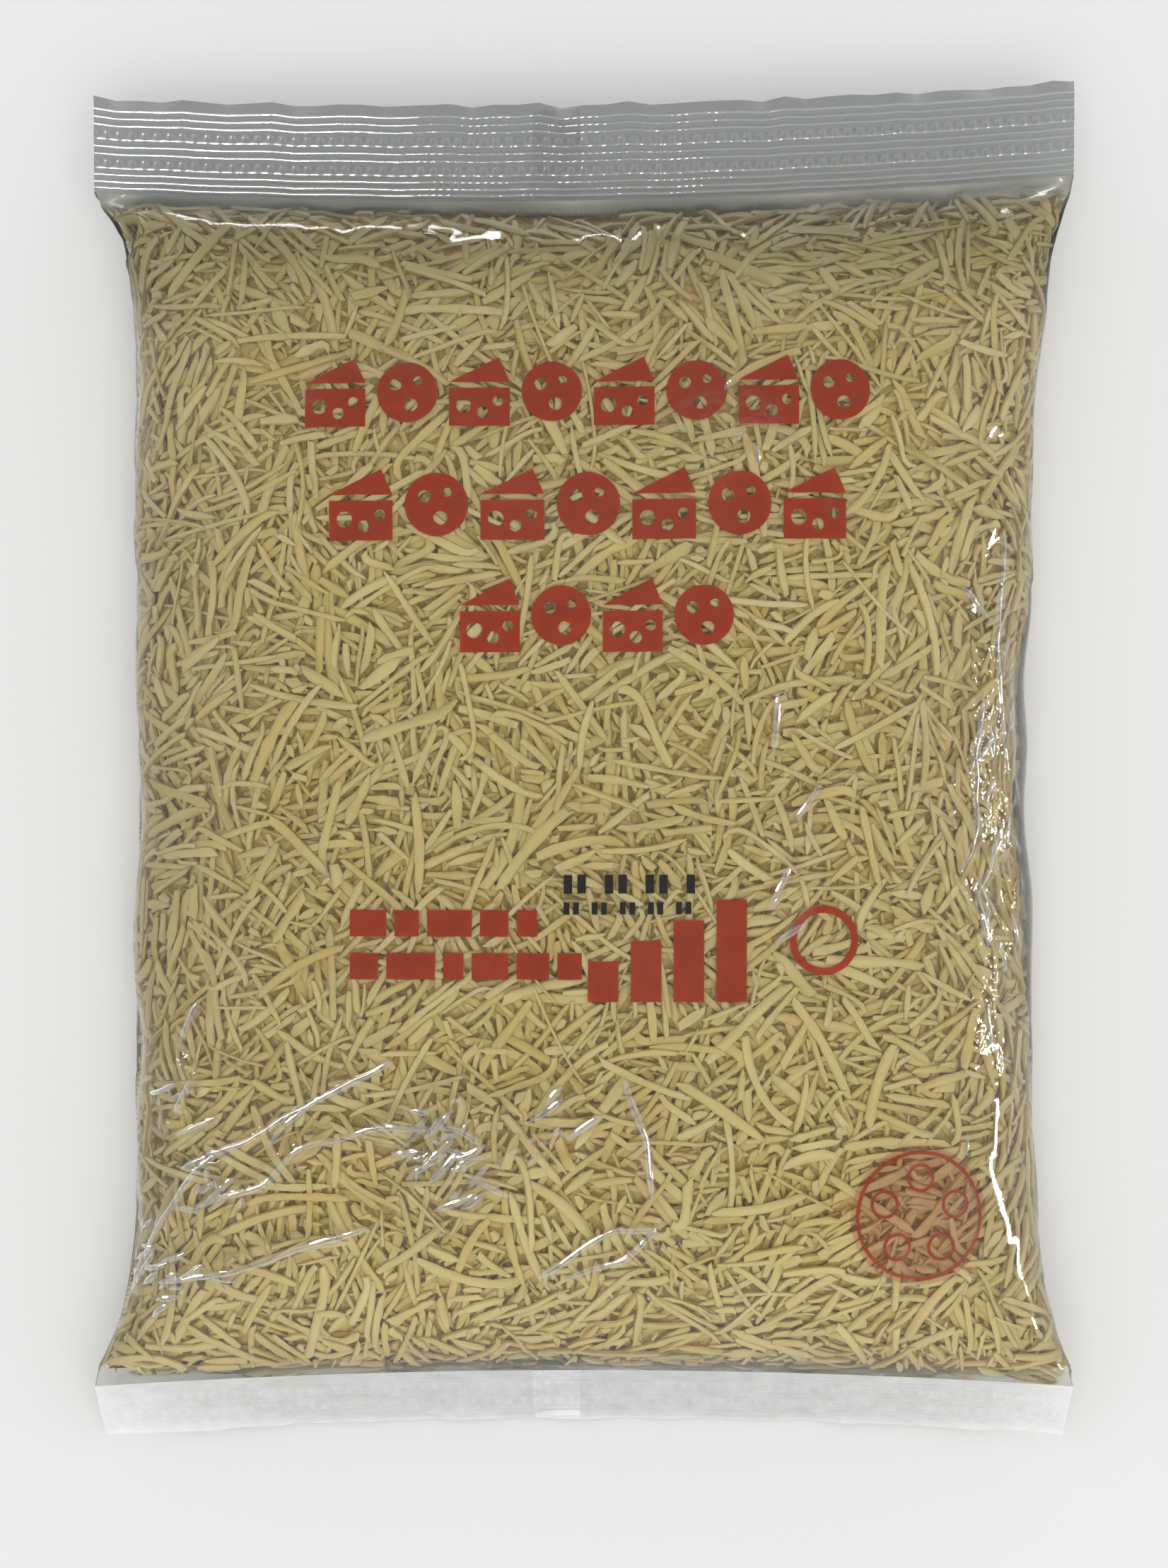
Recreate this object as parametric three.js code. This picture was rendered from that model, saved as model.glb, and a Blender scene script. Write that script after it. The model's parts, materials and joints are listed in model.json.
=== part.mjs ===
// A sealed pillow bag of grated cheese, lying on its back.
//
// One web of clear film is wrapped into a tube. Its long edges are welded into a fin down the middle
// of the back, which lies folded flat, and a ribbed crimp seal closes each end. Inside is a packed bed
// of shreds, with a layer of loose shreds between the bed and the front of the film.
//
// Millimetres. +X runs across the bag, +Y towards its top seal, and +Z up from the surface it lies on.
// The origin is on that surface, under the middle of the bag's outline.

import * as THREE from "three";

// The film
const FLAT_WIDTH = 250; // the empty tube, pressed flat
const BODY_LENGTH = 298; // from one seal to the other
const FILM = 0.4; // wall; the real film is thinner
const END_OPENING = 1.8; // outer height of the tube where it runs into a seal
const EAR = 4; // how far a seal's ends stand out past its middle
const GAP = 0.3; // between pieces that touch

// The filled shape
const FILL_HEIGHT = 42; // at the middle of the bag
const END_FULLNESS = 3.4; // higher keeps the bag thick nearer its seals
const END_SLOPE = 0.72; // lower makes the film leave a seal more steeply
const LIFT_START = 0.7; // share of the half length where the back starts to leave the surface
const LIFT_POWER = 2.2;
const FRONT_CROWN = 2.9; // superellipse power of the front, from side to side
const CORNER_SHAPE = 1.35; // width over height of the back's rounded corners

// The seals
const SEAL_LENGTH = 24; // along the bag
const SEAL_THICKNESS = 0.9; // both layers of film, welded
const RIB_PITCH = 1.75;
const RIB_COUNT = 12;
const RIB_DEPTH = 0.35;
const TOP_SEAL = { side: 1, height: 19, slope: 0.05 };
const BOTTOM_SEAL = { side: -1, height: 19, slope: -1.2 }; // hangs down to the surface
const FIN_WIDTH = 12;
const FIN_MIDDLE = -7; // to the left of the bag's middle line
const FIN_THICKNESS = 0.8;

// The cheese
const SHRED_THICKNESS = 2;
const SHRED_LAYER = 3.2; // between the film and the bed
const BED_CLEARANCE = 1; // between the film and the bed at the back and sides
const BED_END = 0.95; // share of the half length that the bed fills
const SHRED_COLUMNS = 6;
const SHRED_ROWS = 8;
const SHRED_PITCH = 28.5; // between the middles of neighbouring shreds
const SHRED_LENGTHS = [25, 21, 24, 19, 23];
const SHRED_BOWS = [1.6, -1.1, 0.5, -2]; // sideways bend at the middle
const TURN = 2.39996; // golden angle, which keeps neighbours from lining up

// How finely the curved pieces are divided
const BODY_STEPS = 24;
const FRONT_STEPS = 20;
const CORNER_STEPS = 5;
const SEAL_STEPS = 6;
const SHRED_STEPS = 6;

const film = new THREE.MeshStandardMaterial({
  color: 0xdfe3df,
  roughness: 0.1,
  metalness: 0,
  transparent: true,
  opacity: 0.3,
});
const crimpedFilm = new THREE.MeshStandardMaterial({
  color: 0xb4b8b4,
  roughness: 0.18,
  metalness: 0,
  transparent: true,
  opacity: 0.55,
});
const packedCheese = new THREE.MeshStandardMaterial({ color: 0xcdb87c, roughness: 0.75, metalness: 0 });
const looseCheese = new THREE.MeshStandardMaterial({ color: 0xe3d39b, roughness: 0.65, metalness: 0 });

// ---- the filled shape, by position s along the bag: -1 at the bottom seal, 1 at the top seal ----

const sealAt = (s) => (s > 0 ? TOP_SEAL : BOTTOM_SEAL);

// Height of the back of the film above the surface.
function backHeight(s) {
  const lift = Math.max(0, (Math.abs(s) - LIFT_START) / (1 - LIFT_START));
  return (sealAt(s).height - END_OPENING / 2) * lift ** LIFT_POWER;
}

function thickness(s) {
  const fullness = Math.max(0, 1 - Math.abs(s) ** END_FULLNESS) ** END_SLOPE;
  return END_OPENING + (FILL_HEIGHT - END_OPENING) * fullness;
}

// The back of a section from its right side to its left: round a corner, across the flat, round a corner.
// The flat steps up over the fin.
function backOutline({ half, low, waist }) {
  const rise = waist - low;
  const corner = Math.min(CORNER_SHAPE * rise, half / 3);
  const flat = half - corner;
  const channel = FIN_WIDTH / 2 + 1.2;
  const depth = FIN_THICKNESS + GAP;
  const rounded = [];
  for (let i = 1; i <= CORNER_STEPS; i++) {
    const angle = (Math.PI / 2) * (i / CORNER_STEPS);
    rounded.push([flat + corner * Math.cos(angle), waist - rise * Math.sin(angle)]);
  }
  rounded.push([flat / 2, low]);
  const stepUp = [
    [FIN_MIDDLE + channel + 0.8, low],
    [FIN_MIDDLE + channel, low + depth],
    [FIN_MIDDLE - channel, low + depth],
    [FIN_MIDDLE - channel - 0.8, low],
  ];
  return [...rounded, ...stepUp, ...rounded.toReversed().map(([x, z]) => [-x, z])];
}

// The front of a section from its left side to its right, as half of a superellipse.
function frontOutline({ half, high, waist }) {
  const points = [];
  for (let i = 0; i <= FRONT_STEPS; i++) {
    const angle = Math.PI * (1 - i / FRONT_STEPS);
    const across = Math.sign(Math.cos(angle)) * Math.abs(Math.cos(angle)) ** (2 / FRONT_CROWN);
    const up = Math.abs(Math.sin(angle)) ** (2 / FRONT_CROWN);
    points.push([half * across, waist + (high - waist) * up]);
  }
  return points;
}

const outline = (section) => [...frontOutline(section), ...backOutline(section)];

function outlineLength(section) {
  const points = outline(section);
  return points.reduce((sum, [x, z], i) => {
    const [nextX, nextZ] = points[(i + 1) % points.length];
    return sum + Math.hypot(nextX - x, nextZ - z);
  }, 0);
}

// The outer section at s. The film doesn't stretch, so a thicker section is a narrower one.
function sectionAt(s) {
  const low = backHeight(s);
  const high = low + thickness(s);
  const waist = (low + high) / 2;
  let narrow = FLAT_WIDTH / 4;
  let wide = FLAT_WIDTH / 2;
  for (let i = 0; i < 30; i++) {
    const half = (narrow + wide) / 2;
    if (outlineLength({ half, low, high, waist }) > 2 * FLAT_WIDTH) wide = half;
    else narrow = half;
  }
  return { half: wide, low, high, waist };
}

// A section moved inwards: by front at the front, and by rest at the sides and back.
function inset(section, front, rest) {
  return {
    half: section.half - rest,
    low: section.low + rest,
    high: section.high - front,
    waist: section.waist,
  };
}

// Position along the bag. The corners of the bag stand out past the middle of its seals.
function along(s, x) {
  const ear = EAR * (x / (FLAT_WIDTH / 2)) ** 2 * Math.abs(s) ** 6;
  return (s * BODY_LENGTH) / 2 + Math.sign(s) * ear;
}

const ringAt = (s, section) => outline(section).map(([x, z]) => new THREE.Vector3(x, along(s, x), z));

// Height of the front surface at x, y, set back by depth.
function frontHeight(x, y, depth) {
  const section = inset(sectionAt((2 * y) / BODY_LENGTH), depth, depth);
  const share = Math.min(1, Math.abs(x) / section.half) ** FRONT_CROWN;
  return section.waist + (section.high - section.waist) * (1 - share) ** (1 / FRONT_CROWN);
}

// Stations along the bag, closer together towards the seals.
function stations(end) {
  return Array.from({ length: BODY_STEPS + 1 }, (_, i) => end * Math.sin((Math.PI / 2) * ((2 * i) / BODY_STEPS - 1)));
}

// ---- mesh builders ----

function geometryOf(points, faces) {
  const geometry = new THREE.BufferGeometry().setFromPoints(points);
  geometry.setIndex(faces.flat());
  geometry.computeVertexNormals();
  return geometry;
}

// Joins rings of equal count, one after the other. closed joins the last to the first, and the ends
// are otherwise filled round a middle point.
function loft(rings, closed) {
  const count = rings[0].length;
  const points = rings.flat();
  const faces = [];
  const joins = closed ? rings.length : rings.length - 1;
  for (let r = 0; r < joins; r++) {
    for (let i = 0; i < count; i++) {
      const a = r * count + i;
      const b = r * count + ((i + 1) % count);
      const c = ((r + 1) % rings.length) * count + i;
      const d = ((r + 1) % rings.length) * count + ((i + 1) % count);
      faces.push([a, b, c], [b, d, c]);
    }
  }
  if (!closed) {
    const last = (rings.length - 1) * count;
    const middles = [rings[0], rings.at(-1)].map((ring) =>
      ring.reduce((sum, p) => sum.add(p), new THREE.Vector3()).divideScalar(count),
    );
    const first = points.push(...middles) - 2;
    for (let i = 0; i < count; i++) {
      const next = (i + 1) % count;
      faces.push([first, next, i], [first + 1, last + i, last + next]);
    }
  }
  return geometryOf(points, faces);
}

// A sheet of even thickness whose top is surface(i, j), for i up to columns and j up to rows.
function slab(columns, rows, thick, surface) {
  const points = [];
  for (const drop of [0, thick]) {
    for (let j = 0; j <= rows; j++) {
      for (let i = 0; i <= columns; i++) {
        const p = surface(i, j);
        points.push(new THREE.Vector3(p.x, p.y, p.z - drop));
      }
    }
  }
  const layer = (columns + 1) * (rows + 1);
  const top = (i, j) => j * (columns + 1) + i;
  const under = (i, j) => layer + top(i, j);
  const faces = [];
  for (let j = 0; j < rows; j++) {
    for (let i = 0; i < columns; i++) {
      faces.push([top(i, j), top(i + 1, j), top(i + 1, j + 1)], [top(i, j), top(i + 1, j + 1), top(i, j + 1)]);
      faces.push([under(i, j), under(i + 1, j + 1), under(i + 1, j)]);
      faces.push([under(i, j), under(i, j + 1), under(i + 1, j + 1)]);
    }
    faces.push([top(0, j), top(0, j + 1), under(0, j + 1)], [top(0, j), under(0, j + 1), under(0, j)]);
    faces.push([top(columns, j), under(columns, j + 1), top(columns, j + 1)]);
    faces.push([top(columns, j), under(columns, j), under(columns, j + 1)]);
  }
  for (let i = 0; i < columns; i++) {
    faces.push([top(i, 0), under(i + 1, 0), top(i + 1, 0)], [top(i, 0), under(i, 0), under(i + 1, 0)]);
    faces.push([top(i, rows), top(i + 1, rows), under(i + 1, rows)]);
    faces.push([top(i, rows), under(i + 1, rows), under(i, rows)]);
  }
  return geometryOf(points, faces);
}

// ---- the pieces ----

const bag = new THREE.Group();

function addPiece(name, geometry, material) {
  const mesh = new THREE.Mesh(geometry, material);
  mesh.name = name;
  bag.add(mesh);
  return mesh;
}

// The web between the seals: the front, the sides and the back in one tube, open at both ends.
function filmTube() {
  const outer = stations(1).map((s) => ringAt(s, sectionAt(s)));
  const inner = stations(1).map((s) => ringAt(s, inset(sectionAt(s), FILM, FILM)));
  return loft([...outer, ...inner.toReversed()], true);
}

// The welded edges of the web, folded flat against the back.
function backFinSeal() {
  const places = stations(1 - (2 * GAP) / BODY_LENGTH);
  return slab(2, BODY_STEPS, FIN_THICKNESS, (i, j) => {
    const x = FIN_MIDDLE + (i / 2 - 0.5) * FIN_WIDTH;
    return { x, y: along(places[j], x), z: backHeight(places[j]) + FIN_THICKNESS };
  });
}

// Ribs run across the bag. A plain strip is left past the last rib.
function crimpSeal({ side, height, slope }) {
  const lengths = Array.from({ length: 2 * RIB_COUNT + 1 }, (_, i) => (i * RIB_PITCH) / 2);
  lengths.push(SEAL_LENGTH);
  const drop = Math.hypot(1, slope);
  return slab(SEAL_STEPS, lengths.length - 1, SEAL_THICKNESS, (i, j) => {
    const x = (i / SEAL_STEPS - 0.5) * FLAT_WIDTH;
    const row = side > 0 ? j : lengths.length - 1 - j;
    const rib = row % 2 ? RIB_DEPTH : 0;
    const y = along(side, x) + side * (GAP + lengths[row] / drop);
    return { x, y, z: height + SEAL_THICKNESS / 2 + (slope * lengths[row]) / drop + rib };
  });
}

function shredBed() {
  const rings = stations(BED_END).map((s) =>
    ringAt(s, inset(sectionAt(s), FILM + SHRED_LAYER, FILM + BED_CLEARANCE)),
  );
  return loft(rings, false);
}

// A square-cut strip that follows the top of the bed, bent a little sideways.
function looseShred(x, y, angle, length, bow) {
  const depth = FILM + SHRED_LAYER / 2;
  const points = Array.from({ length: SHRED_STEPS + 1 }, (_, i) => {
    const t = (2 * i) / SHRED_STEPS - 1;
    const forward = (t * length) / 2;
    const sideways = bow * (1 - t * t);
    const px = x + forward * Math.cos(angle) - sideways * Math.sin(angle);
    const py = y + forward * Math.sin(angle) + sideways * Math.cos(angle);
    return new THREE.Vector3(px, py, frontHeight(px, py, depth));
  });
  const h = SHRED_THICKNESS / 2;
  const section = new THREE.Shape([
    new THREE.Vector2(-h, -h),
    new THREE.Vector2(h, -h),
    new THREE.Vector2(h, h),
    new THREE.Vector2(-h, h),
  ]);
  return new THREE.ExtrudeGeometry(section, {
    steps: SHRED_STEPS,
    extrudePath: new THREE.CatmullRomCurve3(points),
    bevelEnabled: false,
  });
}

addPiece("film_tube", filmTube(), film);
addPiece("back_fin_seal", backFinSeal(), crimpedFilm);
addPiece("top_crimp_seal", crimpSeal(TOP_SEAL), crimpedFilm);
addPiece("bottom_crimp_seal", crimpSeal(BOTTOM_SEAL), crimpedFilm);
addPiece("shred_bed", shredBed(), packedCheese);
for (let n = 0; n < SHRED_COLUMNS * SHRED_ROWS; n++) {
  const column = n % SHRED_COLUMNS;
  const row = Math.floor(n / SHRED_COLUMNS);
  const x = (column - (SHRED_COLUMNS - 1) / 2) * SHRED_PITCH;
  const y = (row - (SHRED_ROWS - 1) / 2) * SHRED_PITCH;
  const length = SHRED_LENGTHS[n % SHRED_LENGTHS.length];
  const bow = SHRED_BOWS[n % SHRED_BOWS.length];
  const name = `shred_${String(n + 1).padStart(2, "0")}`;
  addPiece(name, looseShred(x, y, n * TURN, length, bow), looseCheese);
}

// The two seals slope differently, so the outline's middle isn't the body's.
const outlineBox = new THREE.Box3().setFromObject(bag);
bag.position.y = -(outlineBox.min.y + outlineBox.max.y) / 2;

export default bag;
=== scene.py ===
"""A sealed clear pillow bag of grated cheese, lying on its back.

The film is settled under the weight of its filling, and everything else is placed on it: shreds are
laid against its inside one by one, each below the ones already there, and the print lies just under
its surface. A place on the film is given in millimetres as (u, v): u runs once round the bag, from
its left edge across the front to the right edge and back behind, and v runs from the bottom seal to
the top seal.
"""

import json
import math

import bmesh
import bpy
import numpy as np
from bpy.props import FloatProperty, FloatVectorProperty, IntProperty, PointerProperty
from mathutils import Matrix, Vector

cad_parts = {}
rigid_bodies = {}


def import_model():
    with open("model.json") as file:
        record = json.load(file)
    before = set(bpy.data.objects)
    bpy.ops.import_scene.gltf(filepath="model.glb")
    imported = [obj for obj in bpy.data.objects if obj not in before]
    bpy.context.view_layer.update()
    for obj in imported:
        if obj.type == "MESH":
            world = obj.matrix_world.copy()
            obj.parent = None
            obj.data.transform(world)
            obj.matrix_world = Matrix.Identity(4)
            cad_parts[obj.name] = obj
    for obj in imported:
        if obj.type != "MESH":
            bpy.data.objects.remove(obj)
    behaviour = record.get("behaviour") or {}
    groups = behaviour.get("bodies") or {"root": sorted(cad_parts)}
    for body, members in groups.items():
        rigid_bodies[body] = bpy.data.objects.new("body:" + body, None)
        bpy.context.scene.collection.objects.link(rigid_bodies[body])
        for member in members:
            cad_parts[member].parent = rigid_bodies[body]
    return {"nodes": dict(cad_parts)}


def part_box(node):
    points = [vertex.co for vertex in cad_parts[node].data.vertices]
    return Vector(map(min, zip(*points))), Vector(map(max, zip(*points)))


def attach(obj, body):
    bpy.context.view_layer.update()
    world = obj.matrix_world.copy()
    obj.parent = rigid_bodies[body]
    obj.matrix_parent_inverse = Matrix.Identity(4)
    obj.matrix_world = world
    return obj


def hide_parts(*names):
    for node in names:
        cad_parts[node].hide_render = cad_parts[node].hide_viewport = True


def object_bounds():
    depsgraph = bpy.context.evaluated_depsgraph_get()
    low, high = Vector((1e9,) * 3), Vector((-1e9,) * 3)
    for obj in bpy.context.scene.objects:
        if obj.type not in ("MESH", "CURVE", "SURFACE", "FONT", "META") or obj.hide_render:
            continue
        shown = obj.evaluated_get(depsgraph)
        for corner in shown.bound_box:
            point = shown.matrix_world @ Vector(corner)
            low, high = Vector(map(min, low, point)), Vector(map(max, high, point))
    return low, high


bl_info = {
    "name": "Bag of grated cheese",
    "version": (1, 0, 0),
    "blender": (4, 5, 0),
    "location": "3D View > Sidebar > Cheese bag",
    "description": "Builds a clear pillow bag of grated cheese around its packed frame",
    "category": "Add Mesh",
}

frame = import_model()
CAD_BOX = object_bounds()

MM = 0.001
TUBE_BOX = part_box("film_tube")
TOP_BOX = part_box("top_crimp_seal")
BOTTOM_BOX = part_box("bottom_crimp_seal")
FLAT_WIDTH = (TOP_BOX[1][0] - TOP_BOX[0][0]) / MM
MIDDLE_Y = (TUBE_BOX[0][1] + TUBE_BOX[1][1]) / 2 / MM
EAR = 4.2  # how far a seal's ends stand out past its middle
SKEW = {1: 2.2, -1: 0.0}  # how far the seal is turned in its plane, at its ends
SPAN = (TOP_BOX[0][1] - BOTTOM_BOX[1][1]) / MM
SHRED_NODES = sorted(n for n in frame["nodes"] if n.startswith("shred_") and n != "shred_bed")


def seal_heights(low, high, side):
    """Heights of a seal's middle line at the bag and at its free edge, from its box."""
    skin = 0.6
    heights = (low[2] / MM + skin, high[2] / MM - skin)
    return heights if side > 0 else heights[::-1]


FIN_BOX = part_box("back_fin_seal")
FIN_X = (FIN_BOX[0][0] / MM, FIN_BOX[1][0] / MM)
FIN_MIDDLE = sum(FIN_X) / 2
SEAL_HEIGHTS = {1: seal_heights(*TOP_BOX, 1), -1: seal_heights(*BOTTOM_BOX, -1)}

# How the film is settled
FILM_LENGTH = 307.5  # between the seals, along the film
SEAL_LENGTH = 24.0
COARSE = 4.0  # spacing of the points that are settled
FINE = 1.25  # spacing of the finished film's points
GATHER = 0.01  # share by which the film is drawn in at the middle of the bag
FILLING_DENSITY = 450.0  # kg a cubic metre
FILM_MASS = 1.2  # kg a square metre, far more than real film, so that its steps stay steady
GRAVITY = 9.8
SETTLE_STEP = 6e-4  # seconds
SPEED_KEPT = 0.985  # share of the film's speed that is kept from step to step
START_BULGE = 12.0  # mm, how far the film stands out to either side at the start
VOLUME_PRESSURE = 4000.0  # pascals, for a bag that is empty of what it should hold
PRESSURE_RANGE = (-2000.0, 3000.0)
# Steps round and along the bag from a film point to one that keeps its distance, and the step's kind
THREAD_STEPS = (
    (1, 0, "round"),
    (0, 1, "along"),
    (1, 1, "slant"),
    (-1, 1, "slant"),
    (2, 0, "bend"),
    (0, 2, "bend"),
)
# For each kind, the share of a stretch and of a squeeze that is taken back at each step
THREAD_HOLD = {"round": (1, 1), "along": (1, 1), "slant": (0.9, 0.5), "bend": (0, 0.02)}


# ---- grids round the bag ----


def cubic_weights(t):
    """Weights of four neighbours, for a point at share t between the middle two."""
    square, cube = t * t, t * t * t
    return (
        -0.5 * cube + square - 0.5 * t,
        1.5 * cube - 2.5 * square + 1,
        -1.5 * cube + 2 * square + 0.5 * t,
        0.5 * cube - 0.5 * square,
    )


def refined(grid, rows, columns):
    """A grid resampled smoothly. Its columns run round the bag, so the last one meets the first."""
    flat = grid.ndim == 2
    if flat:
        grid = grid[..., None]
    count, last = grid.shape[1], grid.shape[0] - 1
    place = np.arange(columns) / columns * count
    first = np.floor(place).astype(int)
    weights = cubic_weights(place - first)
    across = sum(w[None, :, None] * grid[:, (first + k - 1) % count] for k, w in enumerate(weights))
    place = np.linspace(0, last, rows)
    first = np.minimum(np.floor(place).astype(int), last - 1)
    weights = cubic_weights(place - first)
    result = sum(w[:, None, None] * across[np.clip(first + k - 1, 0, last)] for k, w in enumerate(weights))
    return result[..., 0] if flat else result


def noise(seed, cell, rows, columns, spacing=FINE, stretch=1.0):
    """Smooth noise of about unit height. Cells are cell mm round the bag, and stretch times that along it."""
    draws = np.random.default_rng(seed)
    coarse_rows = max(4, round(rows * spacing / (cell * stretch)))
    coarse_columns = max(4, round(columns * spacing / cell))
    return refined(draws.normal(size=(coarse_rows, coarse_columns)), rows, columns)


def sampled(grid, u, v, spacing=FINE):
    """Values of a grid at (u, v), by straight interpolation."""
    columns, last = grid.shape[1], grid.shape[0] - 1
    across, along = np.asarray(u) / spacing, np.clip(np.asarray(v) / spacing, 0, last - 1e-6)
    i, j = np.floor(across).astype(int), np.floor(along).astype(int)
    s, t = across - i, along - j
    if grid.ndim == 3:
        s, t = s[..., None], t[..., None]
    left, right = i % columns, (i + 1) % columns
    low = grid[j, left] * (1 - s) + grid[j, right] * s
    high = grid[j + 1, left] * (1 - s) + grid[j + 1, right] * s
    return low * (1 - t) + high * t


def area_normals(points):
    """Each point's share of the surface, as a vector along its outward normal."""
    across = np.roll(points, -1, 1) - np.roll(points, 1, 1)
    along = np.gradient(points, axis=0)
    return np.cross(across, along) / 2


def unit_normals(points):
    """Outward normals of unit length."""
    normals = area_normals(points)
    return normals / np.maximum(np.linalg.norm(normals, axis=2, keepdims=True), 1e-12)


def lowest_near(grid, reach):
    """For each cell, the lowest value within reach cells of it."""
    for axis in (0, 1):
        grid = np.minimum.reduce([np.roll(grid, k, axis) for k in range(-reach, reach + 1)])
    return grid


def blurred(grid, reach):
    """Three box blurs, each reach cells to either side."""
    for _ in range(3):
        for axis in (0, 1):
            grid = sum(np.roll(grid, k, axis) for k in range(-reach, reach + 1)) / (2 * reach + 1)
    return grid


# ---- the film ----


def seal_point(x, distance, side):
    """A point of a seal, in millimetres, at distance from its inner edge."""
    inner, outer = SEAL_HEIGHTS[side]
    rise = outer - inner
    forward = math.sqrt(SEAL_LENGTH**2 - rise**2) / SEAL_LENGTH
    share = x / (FLAT_WIDTH / 2)
    y = MIDDLE_Y + side * (SPAN / 2 + EAR * share**2 + SKEW[side] * share + distance * forward)
    z = inner + rise * distance / SEAL_LENGTH
    return np.stack(np.broadcast_arrays(x, y, z), axis=-1)


def thread_pairs(rows, columns):
    """Pairs of film points that keep their distance, in groups that share no point."""
    index = np.arange(rows * columns).reshape(rows, columns)
    groups = []
    for over, up, kind in THREAD_STEPS:
        row, column = np.meshgrid(np.arange(rows - up), np.arange(columns), indexing="ij")
        turn = (column // max(1, abs(over))) if over else (row // up)
        for half in range(2):
            keep = turn % 2 == half
            a = index[row[keep], column[keep]]
            b = index[row[keep] + up, (column[keep] + over) % columns]
            groups.append((a, b, over, up, kind))
    return groups


def settled_film(volume, steps):
    """The film between and on the seals, settled on the floor round its filling, in metres."""
    columns = round(2 * FLAT_WIDTH / COARSE)
    columns -= columns % 2
    seal_rows = round(SEAL_LENGTH / COARSE)
    body_rows = round(FILM_LENGTH / COARSE)
    rows = body_rows + 2 * seal_rows + 1
    u = np.arange(columns) / columns * 2 * FLAT_WIDTH
    x = np.where(u <= FLAT_WIDTH, u - FLAT_WIDTH / 2, 1.5 * FLAT_WIDTH - u)
    facing = np.where(u < FLAT_WIDTH, 1.0, -1.0)
    share = (np.arange(rows) - (rows - 1) / 2) / (body_rows / 2)
    held = np.abs(share) >= 1 - 1e-9
    points = np.zeros((rows, columns, 3))
    for r in range(rows):
        side = 1 if share[r] > 0 else -1
        if held[r]:
            points[r] = seal_point(x, (abs(share[r]) - 1) * FILM_LENGTH / 2, side)
            continue
        bottom, top = SEAL_HEIGHTS[-1][0], SEAL_HEIGHTS[1][0]
        bulge = START_BULGE * math.sqrt(1 - abs(share[r])) * np.clip(1 - (2 * x / FLAT_WIDTH) ** 2, 0, 1)
        points[r, :, 0] = x
        points[r, :, 1] = MIDDLE_Y + share[r] * SPAN / 2
        points[r, :, 2] = bottom + (top - bottom) * (share[r] + 1) / 2 + facing * bulge
    points *= MM
    free = np.repeat(~held, columns).astype(float)
    drawn_in = 1 - GATHER * np.clip(1 - share**4, 0, 1)
    threads = []
    for a, b, over, up, kind in thread_pairs(rows, columns):
        moving = free[a] + free[b] > 0
        a, b = a[moving], b[moving]
        round_bag = abs(over) * 2 * FLAT_WIDTH / columns * MM * drawn_in[a // columns]
        along_bag = up * FILM_LENGTH / body_rows * MM
        rest = np.hypot(round_bag, along_bag)
        pull, push = THREAD_HOLD[kind]
        total = free[a] + free[b]
        threads.append((a, b, rest, (free[a] / total)[:, None], (free[b] / total)[:, None], pull, push))
    cell = (2 * FLAT_WIDTH / columns) * (FILM_LENGTH / body_rows) * MM * MM
    speed = np.zeros((rows * columns, 3))
    place = points.reshape(-1, 3)
    for _ in range(steps):
        grid = place.reshape(rows, columns, 3)
        outward = area_normals(grid)
        held_volume = (grid * outward).sum() / 3
        inside = np.clip(VOLUME_PRESSURE * (volume - held_volume) / volume, *PRESSURE_RANGE)
        pressure = inside + FILLING_DENSITY * GRAVITY * (grid[..., 2].max() - grid[..., 2])
        push = (pressure[..., None] * outward).reshape(-1, 3) / (FILM_MASS * cell)
        push[:, 2] -= GRAVITY
        speed += SETTLE_STEP * push * free[:, None]
        before = place
        place = place + SETTLE_STEP * speed
        for a, b, rest, share_a, share_b, pull, push_back in threads:
            gap = place[b] - place[a]
            length = np.sqrt((gap * gap).sum(1))
            excess = length - rest
            excess *= np.where(excess > 0, pull, push_back)
            move = gap * (excess / np.maximum(length, 1e-9))[:, None]
            place[a] += move * share_a
            place[b] -= move * share_b
        low = place[:, 2] < 0
        place[low, 2] = 0
        place[low, :2] = (place[low, :2] + before[low, :2]) / 2
        speed = (place - before) / SETTLE_STEP * SPEED_KEPT
    return place.reshape(rows, columns, 3)[seal_rows : rows - seal_rows]


MOST_ROOM = 25.0  # mm, past which more room makes no difference


def room_inside(points):
    """For each point, the radius of the largest ball that touches the film there from inside."""
    flat = points.reshape(-1, 3)
    inward = -unit_normals(points).reshape(-1, 3)
    radius = np.empty(len(flat))
    for first in range(0, len(flat), 500):
        gap = flat[None] - flat[first : first + 500, None]
        ahead = (gap * inward[first : first + 500, None]).sum(2)
        ball = (gap * gap).sum(2) / np.maximum(2 * ahead, 1e-9)
        ball[ahead < 1e-5] = 1.0
        radius[first : first + 500] = ball.min(1)
    radius = np.minimum(radius, MOST_ROOM * MM).reshape(points.shape[:2])
    radius[[0, -1]] = 0
    return radius


# Creases of the front, each as points (mm across from the middle, mm up from the middle), then its
# height and half width.
CREASES = (
    (((-119, -128), (-100, -100), (-94, -93), (-70, -80), (-47, -67)), 1.1, 2.6),
    (((-98, -104), (-80, -98), (-70, -89), (-52, -84), (-38, -84)), 1.0, 2.4),
    (((-108, -124), (-88, -120), (-70, -114), (-53, -108)), 0.9, 2.4),
    (((-78, -88), (-68, -78), (-60, -74)), 0.5, 2.2),
    (((-12, -121), (5, -110), (18, -108), (10, -117), (-4, -121)), 0.8, 2.2),
    (((9, -72), (15, -86), (17, -102)), 0.6, 2.2),
    (((100, 20), (97, 6), (99, -8), (94, -22)), 0.8, 2.2),
    (((108, 62), (104, 34), (107, 10)), 0.8, 2.2),
    (((104, -14), (98, -28), (101, -40)), 0.8, 2.2),
    (((47, 22), (46, 8)), 0.5, 2.0),
)
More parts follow.
